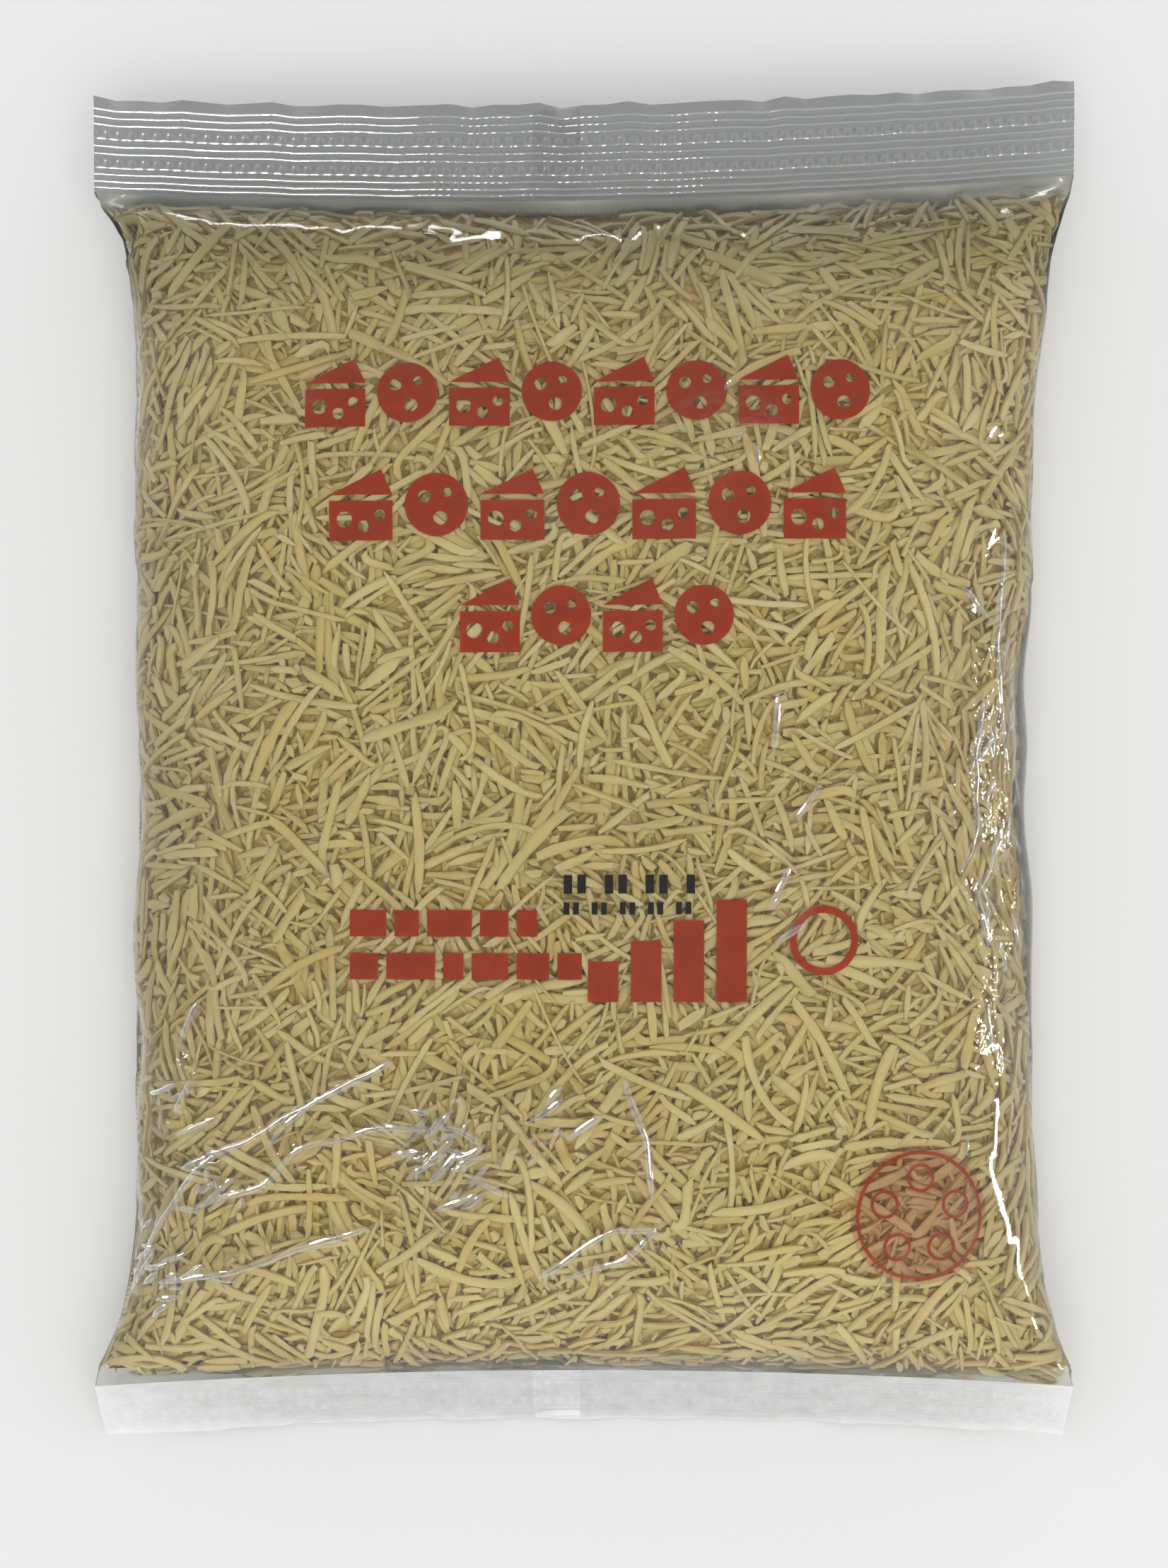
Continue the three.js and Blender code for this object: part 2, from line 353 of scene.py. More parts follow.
# Patches where the film is crumpled: middle, half size, height, short folds in it, their mean heading
CRUMPLES = (
    ((-34, -90), (14, 17), 0.6, 30, 0.5),
    ((-8, -84), (12, 12), 0.4, 10, 0.5),
    ((-101, -78), (10, 12), 0.5, 5, 0.6),
    ((-106, -120), (12, 12), 0.5, 18, 0.6),
    ((-92, -100), (10, 8), 0.4, 8, 0.5),
    ((101, -12), (13, 58), 0.5, 22, 1.5),
    ((50, -20), (8, 14), 0.4, 4, 0.6),
    ((34, 84), (14, 12), 0.3, 3, 0.6),
)


def front_place(rows, columns):
    """For each grid point, mm across and mm up from the middle of the front."""
    u, v = np.meshgrid(np.arange(columns) * FINE, np.arange(rows) * FINE)
    return u - FLAT_WIDTH / 2, v - FILM_LENGTH / 2


def distance_to_line(x, y, line):
    """Distance from each point to a line of straight runs, and how far along it the nearest place is."""
    nearest = np.full(x.shape, 1e9)
    along = np.zeros(x.shape)
    lengths = [math.dist(a, b) for a, b in zip(line, line[1:])]
    passed = 0.0
    for (ax, ay), (bx, by), length in zip(line, line[1:], lengths):
        t = np.clip(((x - ax) * (bx - ax) + (y - ay) * (by - ay)) / length**2, 0, 1)
        distance = np.hypot(x - ax - t * (bx - ax), y - ay - t * (by - ay))
        closer = distance < nearest
        nearest = np.where(closer, distance, nearest)
        along = np.where(closer, (passed + t * length) / sum(lengths), along)
        passed += length
    return nearest, along


def crease_height(rows, columns):
    """How far the film stands off its filling in its creases and crumples, in millimetres."""
    x, y = front_place(rows, columns)
    x = x + 1.1 * noise(31, 12, rows, columns)
    y = y + 1.1 * noise(32, 12, rows, columns)
    height = np.zeros((rows, columns))
    for line, rise, half_width in CREASES:
        distance, along = distance_to_line(x, y, line)
        taper = np.clip(np.minimum(along, 1 - along) * 6, 0, 1)
        height = np.maximum(height, rise * taper * np.exp(-((distance / half_width) ** 1.3)))
    ridges = 1 - np.abs(noise(33, 7, rows, columns)) + 0.5 * (1 - np.abs(noise(34, 4, rows, columns)))
    for middle, half, rise, _, _ in CRUMPLES:
        reach = ((x - middle[0]) / half[0]) ** 2 + ((y - middle[1]) / half[1]) ** 2
        height += rise * np.clip(1.4 - reach, 0, 1) * (ridges + 0.8)
    return height


def wrinkle_height(rows, columns):
    """Broad wrinkles of the film and what lies against it: scallops at the sides, pleats at the seals."""
    x, y = front_place(rows, columns)
    across = np.minimum(np.abs(np.abs(x) - FLAT_WIDTH / 2), 60)
    from_seal = FILM_LENGTH / 2 - np.abs(y)
    sides = np.exp(-((across / 22) ** 2)) * noise(11, 22, rows, columns, stretch=0.8)
    pleats = np.exp(-from_seal / 20) * noise(12, 15, rows, columns, stretch=2.5)
    swells = noise(13, 34, rows, columns)
    ease = np.clip(from_seal / 12, 0, 1)
    return ease * (0.9 * sides + 1.2 * pleats + 0.45 * swells)


# ---- shreds laid against the film ----

CELL = 0.5  # mm, of the map that holds how deep the shreds reach so far
LAYER_DEPTH = 6.5  # mm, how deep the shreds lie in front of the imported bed
FIRST_GAP = 0.35  # mm, between the film and the first shreds
TOP_GAP = 4.5  # mm, how much further the cheese stays from the top seal at its middle
TOP_GAP_REACH = 45.0  # mm to either side of the middle
MARGIN_GAP = 3.4  # mm, how far the cheese stays from the film at the right edge
CHOICES = 24  # places tried for each shred, of which the one with most room is taken
PRESS = 0.45  # how far shreds are pressed into each other, from 0 to 1
FEELERS = np.linspace(-0.45, 0.45, 7)  # where along a shred the room is felt
STIFFNESS = 3  # cells to either side over which a shred bridges what lies above it
HOOK_START = 0.1  # where along a shred its hook begins, as a share from its middle


class ShredPlan:
    """Sizes, headings and bends of a run of shreds, all drawn in advance."""

    def __init__(self, seed, count, sizes):
        draws = np.random.default_rng(seed)
        kind = draws.random(count)
        spread = draws.random(count)
        long, middling, crumbs = 15 + 14 * spread, 7 + 9 * spread, 2.4 + 3.6 * spread
        self.length = np.where(kind < 0.26, long, np.where(kind < 0.8, middling, crumbs)) * sizes.shred_length
        self.width = (0.66 + 0.6 * draws.random(count)) * sizes.shred_width / MM
        self.width[draws.random(count) < 0.22] *= 0.62
        self.thick = np.minimum(self.width * (0.42 + 0.28 * draws.random(count)), 1.1)
        flowing = draws.random((count, 1)) < 0.6
        self.flowing = np.broadcast_to(flowing, (count, CHOICES))
        near_flow = draws.normal(0, 0.6, (count, CHOICES))
        any_way = draws.random((count, CHOICES)) * 7
        self.heading = np.where(flowing, near_flow, any_way)
        self.bend = draws.normal(0, 0.016, count)
        self.hook = draws.normal(0, 0.3, count)
        hooked = draws.random(count) < 0.16
        self.hook[hooked] = np.clip(draws.normal(0, 1.5, count)[hooked], -2.6, 2.6)
        self.tilt = draws.normal(0, 0.16, count)
        self.shade = draws.normal(0, 1, count)
        self.blunt = 0.45 + 0.5 * draws.random((count, 2))
        self.blunt[draws.random((count, 2)) < 0.25] *= 0.4
        self.u = draws.random((count, CHOICES))
        self.v = draws.random((count, CHOICES))
        self.sink = np.abs(draws.normal(0, 0.15, count))
        self.fixed = 0  # how many of the first shreds have their own place


def flow_of_shreds(rows, columns):
    """The heading that neighbouring shreds lean to."""
    return 1.2 * noise(61, 42, rows, columns) + 0.5


def lay_shreds(plan, depth, top, limit, span_u, placed):
    """Lays each shred of a plan against what lies there already, where there is room for it."""
    rows, columns = depth.shape
    flat_depth, flat_top, flat_limit = depth.reshape(-1), top.reshape(-1), limit.reshape(-1)
    all_u = span_u[0] + plan.u * (span_u[1] - span_u[0])
    all_v = plan.v * FILM_LENGTH
    flow = sampled(flow_of_shreds(rows, columns), all_u, all_v, CELL)
    headings = np.where(plan.flowing, flow, 0.0) + plan.heading
    headings[: plan.fixed] = plan.heading[: plan.fixed]
    for n in range(len(plan.length)):
        length, width, thick = plan.length[n], plan.width[n], plan.thick[n]
        feel = FEELERS * length
        feel_u = all_u[n][:, None] + feel * np.cos(headings[n])[:, None]
        feel_v = all_v[n][:, None] + feel * np.sin(headings[n])[:, None]
        inside = (feel_v > 0) & (feel_v < FILM_LENGTH)
        felt_rows = np.clip((feel_v / CELL).astype(int), 0, rows - 1)
        felt = felt_rows * columns + (feel_u / CELL).astype(int) % columns
        room = np.where(inside, flat_depth[felt] + 20 * (flat_depth[felt] + thick > flat_limit[felt]), 99)
        best = int(room.max(1).argmin()) if n >= plan.fixed else 0
        along = np.linspace(-0.5, 0.5, max(5, int(length / CELL)))
        hooked = np.clip(along - HOOK_START, 0, 1) / (0.5 - HOOK_START)
        aim = headings[n, best] + plan.bend[n] * length * along + plan.hook[n] * hooked**2
        step = length / (len(along) - 1)
        u, v = np.cumsum(np.cos(aim)) * step, np.cumsum(np.sin(aim)) * step
        u += all_u[n, best] - u.mean()
        v += all_v[n, best] - v.mean()
        if v.min() < 2 or v.max() > FILM_LENGTH - 2:
            continue
        across = np.linspace(-width / 2, width / 2, max(3, int(width / CELL) + 1))[None]
        cell_u = ((u[:, None] - across * np.sin(aim)[:, None]) / CELL).astype(int) % columns
        cell_v = np.clip(((v[:, None] + across * np.cos(aim)[:, None]) / CELL).astype(int), 0, rows - 1)
        cells = cell_v * columns + cell_u
        found = flat_depth[cells]
        under = PRESS * found.mean(1) + (1 - PRESS) * found.max(1)
        reach = min(STIFFNESS, len(along) // 2)
        padded = np.pad(under, 2 * reach, mode="edge")
        highest = np.lib.stride_tricks.sliding_window_view(padded, 2 * reach + 1).max(1)
        lie = np.convolve(highest, np.full(2 * reach + 1, 1 / (2 * reach + 1)), mode="valid") + plan.sink[n]
        if (lie + thick > flat_limit[cells[:, 0]]).any():
            continue
        flat_depth[cells] = (lie + thick * (1 - PRESS / 2))[:, None]
        flat_top[cells] = np.minimum(flat_top[cells], lie[:, None])
        sections = max(2, round(length / 2.8 + 2 * abs(plan.hook[n]))) + 1
        at = np.linspace(0, len(along) - 1, sections)
        index = np.arange(len(along))
        path = [np.interp(at, index, values) for values in (u, v, lie, aim)]
        node = n if n < plan.fixed else None
        placed.append((*path, (length, width, thick, plan.tilt[n], plan.shade[n], plan.blunt[n]), node))


def first_shreds(plan, span_u):
    """Moves the first shreds of a plan to where the frame holds single shreds."""
    for n, name in enumerate(SHRED_NODES):
        mesh = node_points(name)
        middle = mesh.mean(0)
        spread = np.linalg.svd(mesh - middle, full_matrices=False)
        axis = spread[2][0]
        ends = (mesh - middle) @ axis
        plan.length[n] = ends.max() - ends.min()
        plan.heading[n, 0] = math.atan2(axis[1], axis[0])
        plan.u[n, 0] = (middle[0] + FLAT_WIDTH / 2 - span_u[0]) / (span_u[1] - span_u[0])
        plan.v[n, 0] = (middle[1] - MIDDLE_Y) / SPAN + 0.5
    plan.fixed = len(SHRED_NODES)


def node_points(name):
    """A CAD node's points in millimetres."""
    mesh = bpy.data.objects[name].data
    found = np.empty(len(mesh.vertices) * 3)
    mesh.vertices.foreach_get("co", found)
    return found.reshape(-1, 3) / MM


def empty_margin(x, y):
    """1 at the right edge where the bag is nearly empty, falling to 0 around it."""
    return np.exp(-(((x - FLAT_WIDTH / 2) / 16) ** 2)) * np.clip(1.2 - np.abs((y + 8) / 55) ** 2, 0, 1)


# ---- what the operators share ----

bag = {}


def shape(sizes):
    """Settles the film and lays the shreds, once for all operators."""
    if bag:
        return bag
    coarse = settled_film(sizes.volume * MM, sizes.settle_steps)
    rows = round(FILM_LENGTH / FINE) + 1
    columns = round(2 * FLAT_WIDTH / FINE)
    smooth = refined(coarse, rows, columns)
    normals = unit_normals(smooth)
    wrinkled = smooth + normals * wrinkle_height(rows, columns)[..., None] * MM
    wrinkled[..., 2] = np.maximum(wrinkled[..., 2], 0.0)
    normals = unit_normals(wrinkled)
    room = refined(room_inside(coarse[::2, ::2]), rows, columns) / MM
    map_rows, map_columns = round(FILM_LENGTH / CELL) + 1, round(2 * FLAT_WIDTH / CELL)
    limit = np.minimum(LAYER_DEPTH, 0.9 * refined(np.maximum(room, 0.1), map_rows, map_columns))
    x, y = front_place(rows, columns)
    across, up = (refined(grid, map_rows, map_columns) for grid in (np.abs(x), y))
    limit[up > FILM_LENGTH / 2 - 3 - TOP_GAP * np.exp(-((across / TOP_GAP_REACH) ** 2))] = 0
    gap = FIRST_GAP + 0.35 * np.abs(noise(21, 9, rows, columns)) + MARGIN_GAP * empty_margin(x, y)
    depth = refined(gap, map_rows, map_columns)
    top = np.full(depth.shape, 9.0)
    placed = []
    front = ShredPlan(101, sizes.front_shreds, sizes)
    front_span = (-14, FLAT_WIDTH + 14)
    first_shreds(front, front_span)
    lay_shreds(front, depth, top, limit, front_span, placed)
    front_count = len(placed)
    back = ShredPlan(202, sizes.back_shreds, sizes)
    lay_shreds(back, depth, top, limit, (FLAT_WIDTH + 6, 2 * FLAT_WIDTH - 6), placed)
    bag.update(
        rows=rows,
        columns=columns,
        filling=wrinkled,
        normals=normals,
        room=room,
        placed=placed,
        front_count=front_count,
    )
    cover = blurred(lowest_near(top, 3), 1)
    sag = refined(0.8 * np.clip(cover - 0.2, 0, 1.2), rows, columns)
    standing = crease_height(rows, columns)
    ease = np.clip((FILM_LENGTH / 2 - np.abs(y)) / 6, 0, 1)
    height = ease * (standing - sag * np.clip(1 - standing / 0.8, 0, 1))
    film = wrinkled + normals * height[..., None] * MM
    over_fin = (np.abs(x - (FLAT_WIDTH - FIN_MIDDLE)) < (FIN_X[1] - FIN_X[0]) / 2 + 1) * 0.8
    film[..., 2] = np.maximum(film[..., 2], over_fin * MM)
    bag.update(film=film, film_normals=unit_normals(film), standing=standing)
    return bag


# ---- meshes ----


def add_mesh(name, points, faces, smooth=True):
    """Adds a mesh object. faces is an array of quads, or a list of lists."""
    mesh = bpy.data.meshes.new(name)
    mesh.from_pydata(np.asarray(points).tolist(), [], faces.tolist() if hasattr(faces, "tolist") else faces)
    mesh.update()
    if smooth:
        mesh.polygons.foreach_set("use_smooth", np.ones(len(mesh.polygons), bool))
    piece = bpy.data.objects.new(name, mesh)
    bpy.context.scene.collection.objects.link(piece)
    return piece


def add_numbers(piece, name, values):
    """Stores one number per point, for the material to read."""
    attribute = piece.data.attributes.new(name, "FLOAT", "POINT")
    attribute.data.foreach_set("value", np.asarray(values, np.float32).ravel())


def grid_faces(rows, columns, wrap):
    """Quads of a grid, facing along the cross product of its columns and rows."""
    last = columns if wrap else columns - 1
    row, column = np.meshgrid(np.arange(rows - 1), np.arange(last), indexing="ij")
    after = (column + 1) % columns
    here, above = row * columns, (row + 1) * columns
    corners = [here + column, here + after, above + after, above + column]
    return np.stack(corners, axis=-1).reshape(-1, 4)


def add_film(sizes):
    """The clear film between the seals, with the numbers that its material reads."""
    shaped = shape(sizes)
    rows, columns = shaped["rows"], shaped["columns"]
    piece = add_mesh("clear_film", shaped["film"].reshape(-1, 3), grid_faces(rows, columns, True))
    x, y = front_place(rows, columns)
    from_top, from_bottom = FILM_LENGTH / 2 - y, FILM_LENGTH / 2 + y
    haze = 1.2 * np.exp(-((from_top / 5.5) ** 2)) + 0.4 * np.exp(-from_top / 13)
    haze = haze + 0.3 * np.exp(-from_bottom / 9) + 0.06 * np.clip(shaped["standing"], 0, 1)
    add_numbers(piece, "haze", haze + 0.7 * empty_margin(x, y) ** 3)
    add_numbers(piece, "crumple", np.clip(shaped["standing"] / 0.8, 0, 1))
    add_numbers(piece, "dull", np.exp(-((from_top / 30) ** 4)))
    return piece


FOLD_STEP = 0.5  # mm between the sections of a fold
FOLD_HALF = 0.95  # mm, half the width of a fold's foot
FOLD_HEIGHT = 0.52
FOLD_FOOT = 0.06  # mm that a fold's foot reaches into the film
FOLD_SECTION = np.linspace(-1, 1, 11)


def fold_paths():
    """Every fold as (x, y) places in millimetres: the creases, then short folds in each crumpled patch."""
    draws = np.random.default_rng(71)
    lines = [np.array(line, float) for line, _, _ in CREASES]
    for middle, half, _, count, heading in CRUMPLES:
        spots = np.array(middle) + draws.normal(0, 0.5, (count, 2)) * half
        headings = draws.normal(heading, 0.5, count)
        lengths = 3 + 9 * draws.random(count)
        for spot, aim, length in zip(spots, headings, lengths):
            way = np.array([math.cos(aim), math.sin(aim)]) * length / 2
            lines.append(np.array([spot - way, spot + draws.normal(0, 0.5, 2), spot + way]))
    paths = []
    for line in lines:
        passed = np.concatenate([[0], np.cumsum(np.hypot(*np.diff(line, axis=0).T))])
        along = np.arange(0, passed[-1], FOLD_STEP)
        knots = np.arange(0, passed[-1] + 6, 6)
        waver = draws.normal(0, 0.4, (2, len(knots)))
        path = [np.interp(along, passed, line[:, k]) + np.interp(along, knots, waver[k]) for k in (0, 1)]
        reach = min(5, len(along) // 3)
        window = np.full(2 * reach + 1, 1 / (2 * reach + 1))
        padded = [np.pad(p, reach, mode="reflect", reflect_type="odd") for p in path]
        paths.append(np.array([np.convolve(p, window, "valid") for p in padded]))
    return paths


def add_folds(sizes):
    """Sharp little folds that stand up from the film, each a low ridge with rounded flanks."""
    shaped = shape(sizes)
    draws = np.random.default_rng(72)
    points, faces, count = [], [], 0
    for x, y in fold_paths():
        along = np.arange(len(x)) * FOLD_STEP
        aim = np.arctan2(np.gradient(y), np.gradient(x))
        knots = np.arange(0, along[-1] + 4, 4)
        sizes_here = 1 + 0.22 * np.interp(along, knots, draws.normal(0, 1, len(knots)))
        taper = np.clip(np.minimum(along, along[-1] - along) / 2.5, 0, 1)
        half = FOLD_HALF * (0.35 + 0.65 * taper) * np.sqrt(np.maximum(sizes_here, 0.4))
        height = FOLD_HEIGHT * taper * np.maximum(sizes_here, 0.4)
        side = half[:, None] * FOLD_SECTION
        lift = height[:, None] * np.cos(FOLD_SECTION * math.pi / 2) ** 2 - FOLD_FOOT
        u = x[:, None] - side * np.sin(aim)[:, None] + FLAT_WIDTH / 2
        v = y[:, None] + side * np.cos(aim)[:, None] + FILM_LENGTH / 2
        spots = sampled(shaped["film"], u, v) + sampled(shaped["film_normals"], u, v) * (lift * MM)[..., None]
        points.append(spots.reshape(-1, 3))
        faces.append(grid_faces(len(x), len(FOLD_SECTION), False)[:, ::-1] + count)
        count += spots.size // 3
    return add_mesh("film_folds", np.concatenate(points), np.concatenate(faces))


# A shred's section, as shares of its half width and half thickness. It is flat on top, towards the film.
SECTION_OUTLINE = np.array([(1.0, 0.1), (0.7, 1.0), (-0.7, 1.0), (-1.0, 0.1), (-0.66, -1.0), (0.66, -1.0)])
SECTION = len(SECTION_OUTLINE)
FRONT_PARTS = 5  # pieces that the shreds at the front are kept in, from the bottom to the top
CUT_LENGTH = 1.6  # mm over which a shred's end is drawn in


def add_shreds(name, shreds, seed):
    """One mesh of many shreds, each a bent and twisted strip with blunt, slanting ends."""
    draws = np.random.default_rng(seed)
    counts = np.array([len(s[0]) for s in shreds])
    u, v, lie, aim = (np.concatenate([s[k] for s in shreds]) for k in range(4))
    facts = np.array([s[4][:5] for s in shreds])
    blunts = np.array([s[4][5] for s in shreds])
    owner = np.repeat(np.arange(len(shreds)), counts)
    first = np.concatenate([[0], np.cumsum(counts)[:-1]])
    order = np.arange(len(owner)) - first[owner]
    last = counts[owner] - 1
    length, width, thick, tilt, shade = (facts[owner, k] for k in range(5))
    start = np.clip(order / last * length / CUT_LENGTH, 0, 1)
    finish = np.clip((1 - order / last) * length / CUT_LENGTH, 0, 1)
    near_end, far_end = blunts[owner, 0], blunts[owner, 1]
    narrow = (near_end + (1 - near_end) * start) * (far_end + (1 - far_end) * finish)
    uneven = 1 + np.clip(0.1 * draws.normal(size=len(owner)), -0.25, 0.25)
    skew = 0.16 * draws.normal(size=(len(shreds), SECTION))[owner]
    half_across = (SECTION_OUTLINE[:, 0][None] + skew) * (width * narrow * uneven / 2)[:, None]
    half_deep = SECTION_OUTLINE[:, 1][None] * (thick * narrow**0.5 / 2)[:, None]
    turn = (tilt + 0.45 * draws.normal(size=len(shreds))[owner] * (order / last - 0.5))[:, None]
    side = half_across * np.cos(turn) - half_deep * np.sin(turn)
    down = half_across * np.sin(turn) + half_deep * np.cos(turn)
    slant = draws.normal(0, 0.7, (len(shreds), 2))[owner]
    ahead = side * (slant[:, 0] * (order == 0) + slant[:, 1] * (order == last))[:, None]
    place_u = u[:, None] - side * np.sin(aim)[:, None] + ahead * np.cos(aim)[:, None]
    place_v = v[:, None] + side * np.cos(aim)[:, None] + ahead * np.sin(aim)[:, None]
    deep = (lie + thick / 2 + np.abs(np.sin(turn[:, 0])) * width / 4)[:, None] + down
    points = sampled(bag["filling"], place_u, place_v)
    points = points - sampled(bag["normals"], place_u, place_v) * (deep * MM)[..., None]
    section = np.arange(len(owner))
    joined = section[order < last]
    around = np.arange(SECTION)
    after = (around + 1) % SECTION
    base = joined[:, None] * SECTION
    corners = [base + around, base + SECTION + around, base + SECTION + after, base + after]
    quads = np.stack(corners, axis=-1).reshape(-1, 4)
    starts = first[:, None] * SECTION + around[None]
    ends = (first + counts - 1)[:, None] * SECTION + around[None, ::-1]
    faces = quads.tolist() + starts.tolist() + ends.tolist()
    piece = add_mesh(name, points.reshape(-1, 3), faces)
    piece.data.set_sharp_from_angle(angle=math.radians(50))
    add_numbers(piece, "shade", np.repeat(shade, SECTION))
    add_numbers(piece, "tip", np.repeat(1 - np.minimum(start, finish), SECTION))
    # Painted shade: how deep each point lies, which darkens the shreds that lie behind others
    add_numbers(piece, "deep", np.clip(deep / 4.5, 0, 1))
    lay_out_shreds(piece, counts, joined, owner, order, last)
    return piece


def lay_out_shreds(piece, counts, joined, owner, order, last):
    """A texture layout in which each shred has a strip of its own."""
    across = math.ceil(math.sqrt(len(counts) * 4))
    down = math.ceil(len(counts) / across)
    strip = np.stack([owner % across, owner // across], axis=-1)
    step = np.arange(SECTION)
    left, right = 0.08 + 0.84 * step / SECTION, 0.08 + 0.84 * (step + 1) / SECTION
    low = 0.06 + 0.88 * (order / last)
    low_here, high_here = low[joined], low[joined + 1]
    place = strip[joined]
    shape_of = (len(joined), SECTION)
    xs = [np.broadcast_to(s, shape_of) for s in (left, left, right, right)]
    ys = [np.broadcast_to(s[:, None], shape_of) for s in (low_here, high_here, high_here, low_here)]
    corners = np.stack([np.stack(xs, -1), np.stack(ys, -1)], -1)
    corners = (corners + place[:, None, None]) / (across, down)
    turn = (step + 0.5) / SECTION * 2 * math.pi
    cap = np.stack([0.5 + 0.3 * np.cos(turn), 0.03 + 0.02 * np.sin(turn)], -1)
    index = np.arange(len(counts))
    places = np.stack([index % across, index // across], -1)[:, None]
    caps = (cap[None] + places) / (across, down)
    far_caps = (cap[None] * (1, -1) + (0, 1) + places)[:, ::-1] / (across, down)
    layout = piece.data.uv_layers.new(name="OFBake")
    values = np.concatenate([corners.reshape(-1, 2), caps.reshape(-1, 2), far_caps.reshape(-1, 2)])
    layout.data.foreach_set("uv", values.astype(np.float32).ravel())


def add_bed(sizes):
    """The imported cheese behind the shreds, as deep as there is room for."""
    shaped = shape(sizes)
    rows, columns = shaped["rows"], shaped["columns"]
    every = 2
    points = shaped["filling"][::every, ::every]
    normals = shaped["normals"][::every, ::every]
    room = shaped["room"][::every, ::every]
    lumps = noise(41, 5, rows, columns)[::every, ::every]
    deep = np.minimum(LAYER_DEPTH - 1.2 + 0.7 * lumps, 0.97 * np.maximum(room, 0.1))
    inner = points - normals * (deep * MM)[..., None]
    keep = slice(2, points.shape[0] - 2)
    inner = inner[keep]
    count = inner.shape[1]
    faces = grid_faces(inner.shape[0], count, True).tolist()
    faces.append(list(range(count))[::-1])
    faces.append([(inner.shape[0] - 1) * count + k for k in range(count)])
    return add_mesh("cheese_bed", inner.reshape(-1, 3), faces)


# ---- seals ----

# Distances in mm from a seal's inner edge
RIBS = (1.0, 2.5, 4.3, 6.0, 9.5, 11.4, 13.3, 16.8, 18.7, 20.6)
DIMPLE_ROWS = (7.75, 15.05)
DIMPLE_PITCH = 3.2
CRIMP_LENGTH = 21.4  # past it the film's edge is plain
RIB_HEIGHT, RIB_HALF = 0.45, 0.42


def crimp_height(x, distance, seed):
    """Height of a seal's ribs and dimples, and of the fine ribs up and down where the fin is welded in."""
    drift = 0.12 * np.interp(x, np.linspace(-FLAT_WIDTH / 2, FLAT_WIDTH / 2, 30), np.sin(np.arange(30) * 2.3))
    ribs = sum(np.exp(-(((distance + drift - at) / RIB_HALF) ** 2)) for at in RIBS)
    ribs = ribs * (1 - 0.12 * np.exp(-(((x - FIN_MIDDLE) / 34) ** 4)))
    dimples = 0
    for row in DIMPLE_ROWS:
        reach = np.exp(-(((distance - row) / 1.05) ** 2))
        dimples = dimples + reach * np.maximum(np.cos(x / DIMPLE_PITCH * 2 * math.pi), -0.3)
    draws = np.random.default_rng(seed)
    patches = refined(draws.random((9, 60)), *x.shape)
    upright = np.cos(x / 1.9 * 2 * math.pi) * np.exp(-(((x - FIN_MIDDLE) / 42) ** 4))
    upright = upright * np.clip(patches * 2 - 0.6, 0, 1)
    crimped = np.clip((CRIMP_LENGTH + 0.4 - distance) / 0.6, 0, 1) * np.clip(distance / 0.5, 0, 1)
    return crimped * (RIB_HEIGHT * ribs + 0.5 * dimples + 0.13 * upright)


def add_seal(name, side):
    """A crimped seal: ribs across the bag, two rows of dimples, and a plain wavy edge past the last rib."""
    rows = round(SEAL_LENGTH / 0.24) + 1
    columns = round(FLAT_WIDTH / 0.5) + 1
    across = np.linspace(-1, 1, columns) * FLAT_WIDTH / 2
    out = np.linspace(0, SEAL_LENGTH, rows)
    x, distance = np.meshgrid(across, out)
    crimps = crimp_height(x, distance, 60 + side)
    draws = np.random.default_rng(50 + side)
    wave = np.interp(x, np.linspace(across[0], across[-1], 14), draws.normal(0, 1, 14))
    slow = np.interp(x, np.linspace(across[0], across[-1], 7), draws.normal(0, 1, 7))
    edge = np.interp(x, np.linspace(across[0], across[-1], 45), draws.normal(0, 1, 45))
    free = (distance / SEAL_LENGTH) ** 2
    lift = free * (0.9 * slow + 0.35 * wave) + np.clip((distance - CRIMP_LENGTH) / 3, 0, 1) * 0.5 * edge
    points = seal_point(x, distance, side)
    points[..., 2] += crimps + lift
    points[..., 2] = np.maximum(points[..., 2], 0.4)
    points[..., 1] += side * 0.25 * edge * free
    faces = grid_faces(rows, columns, False)
    if side < 0:
        faces = faces[:, ::-1]
    piece = add_mesh(name, points.reshape(-1, 3) * MM, faces)
    add_numbers(piece, "rib", crimps / RIB_HEIGHT)
    inside = np.clip(np.minimum(x - FIN_X[0], FIN_X[1] - x) / 0.8 + 0.5, 0, 1)
    add_numbers(piece, "fin", inside)
    return piece


FIN_SHEET = 0.35  # mm, how far the fin stands off what it lies against


def add_fin(sizes):
    """The web's two long edges, welded with fine ribs and folded flat on the back and both seals."""
    shaped = shape(sizes)
    columns = 41
    across = np.linspace(FIN_X[0], FIN_X[1], columns)
    v = np.arange(0, FILM_LENGTH + 0.1, 0.75)
    x, along = np.meshgrid(across, v)
    u = 1.5 * FLAT_WIDTH - x
    ribs = 0.12 * np.cos((x - FIN_X[0]) / 1.1 * 2 * math.pi)
    spots = sampled(shaped["film"], u, along)
    outward = sampled(shaped["film_normals"], u, along)
    body = spots + outward * ((FIN_SHEET + ribs) * MM)[..., None]
    body[..., 2] = np.maximum(body[..., 2], (0.2 + ribs) * MM)
    ends = {}
    for side in (1, -1):
        distance = np.linspace(0.6, SEAL_LENGTH - 1, 20)
        place_x, place = np.meshgrid(across, distance)
        points = seal_point(place_x, place, side)
        points[..., 2] -= 2 * FIN_SHEET + 0.1 * np.cos((place_x - FIN_X[0]) / 1.1 * 2 * math.pi)
        points[..., 2] = np.maximum(points[..., 2], 0.15)
        ends[side] = points * MM
    points = np.concatenate([ends[-1][::-1], body, ends[1]])
    return add_mesh("back_fin", points.reshape(-1, 3), grid_faces(len(points), columns, False)[:, ::-1])


# ---- print ----


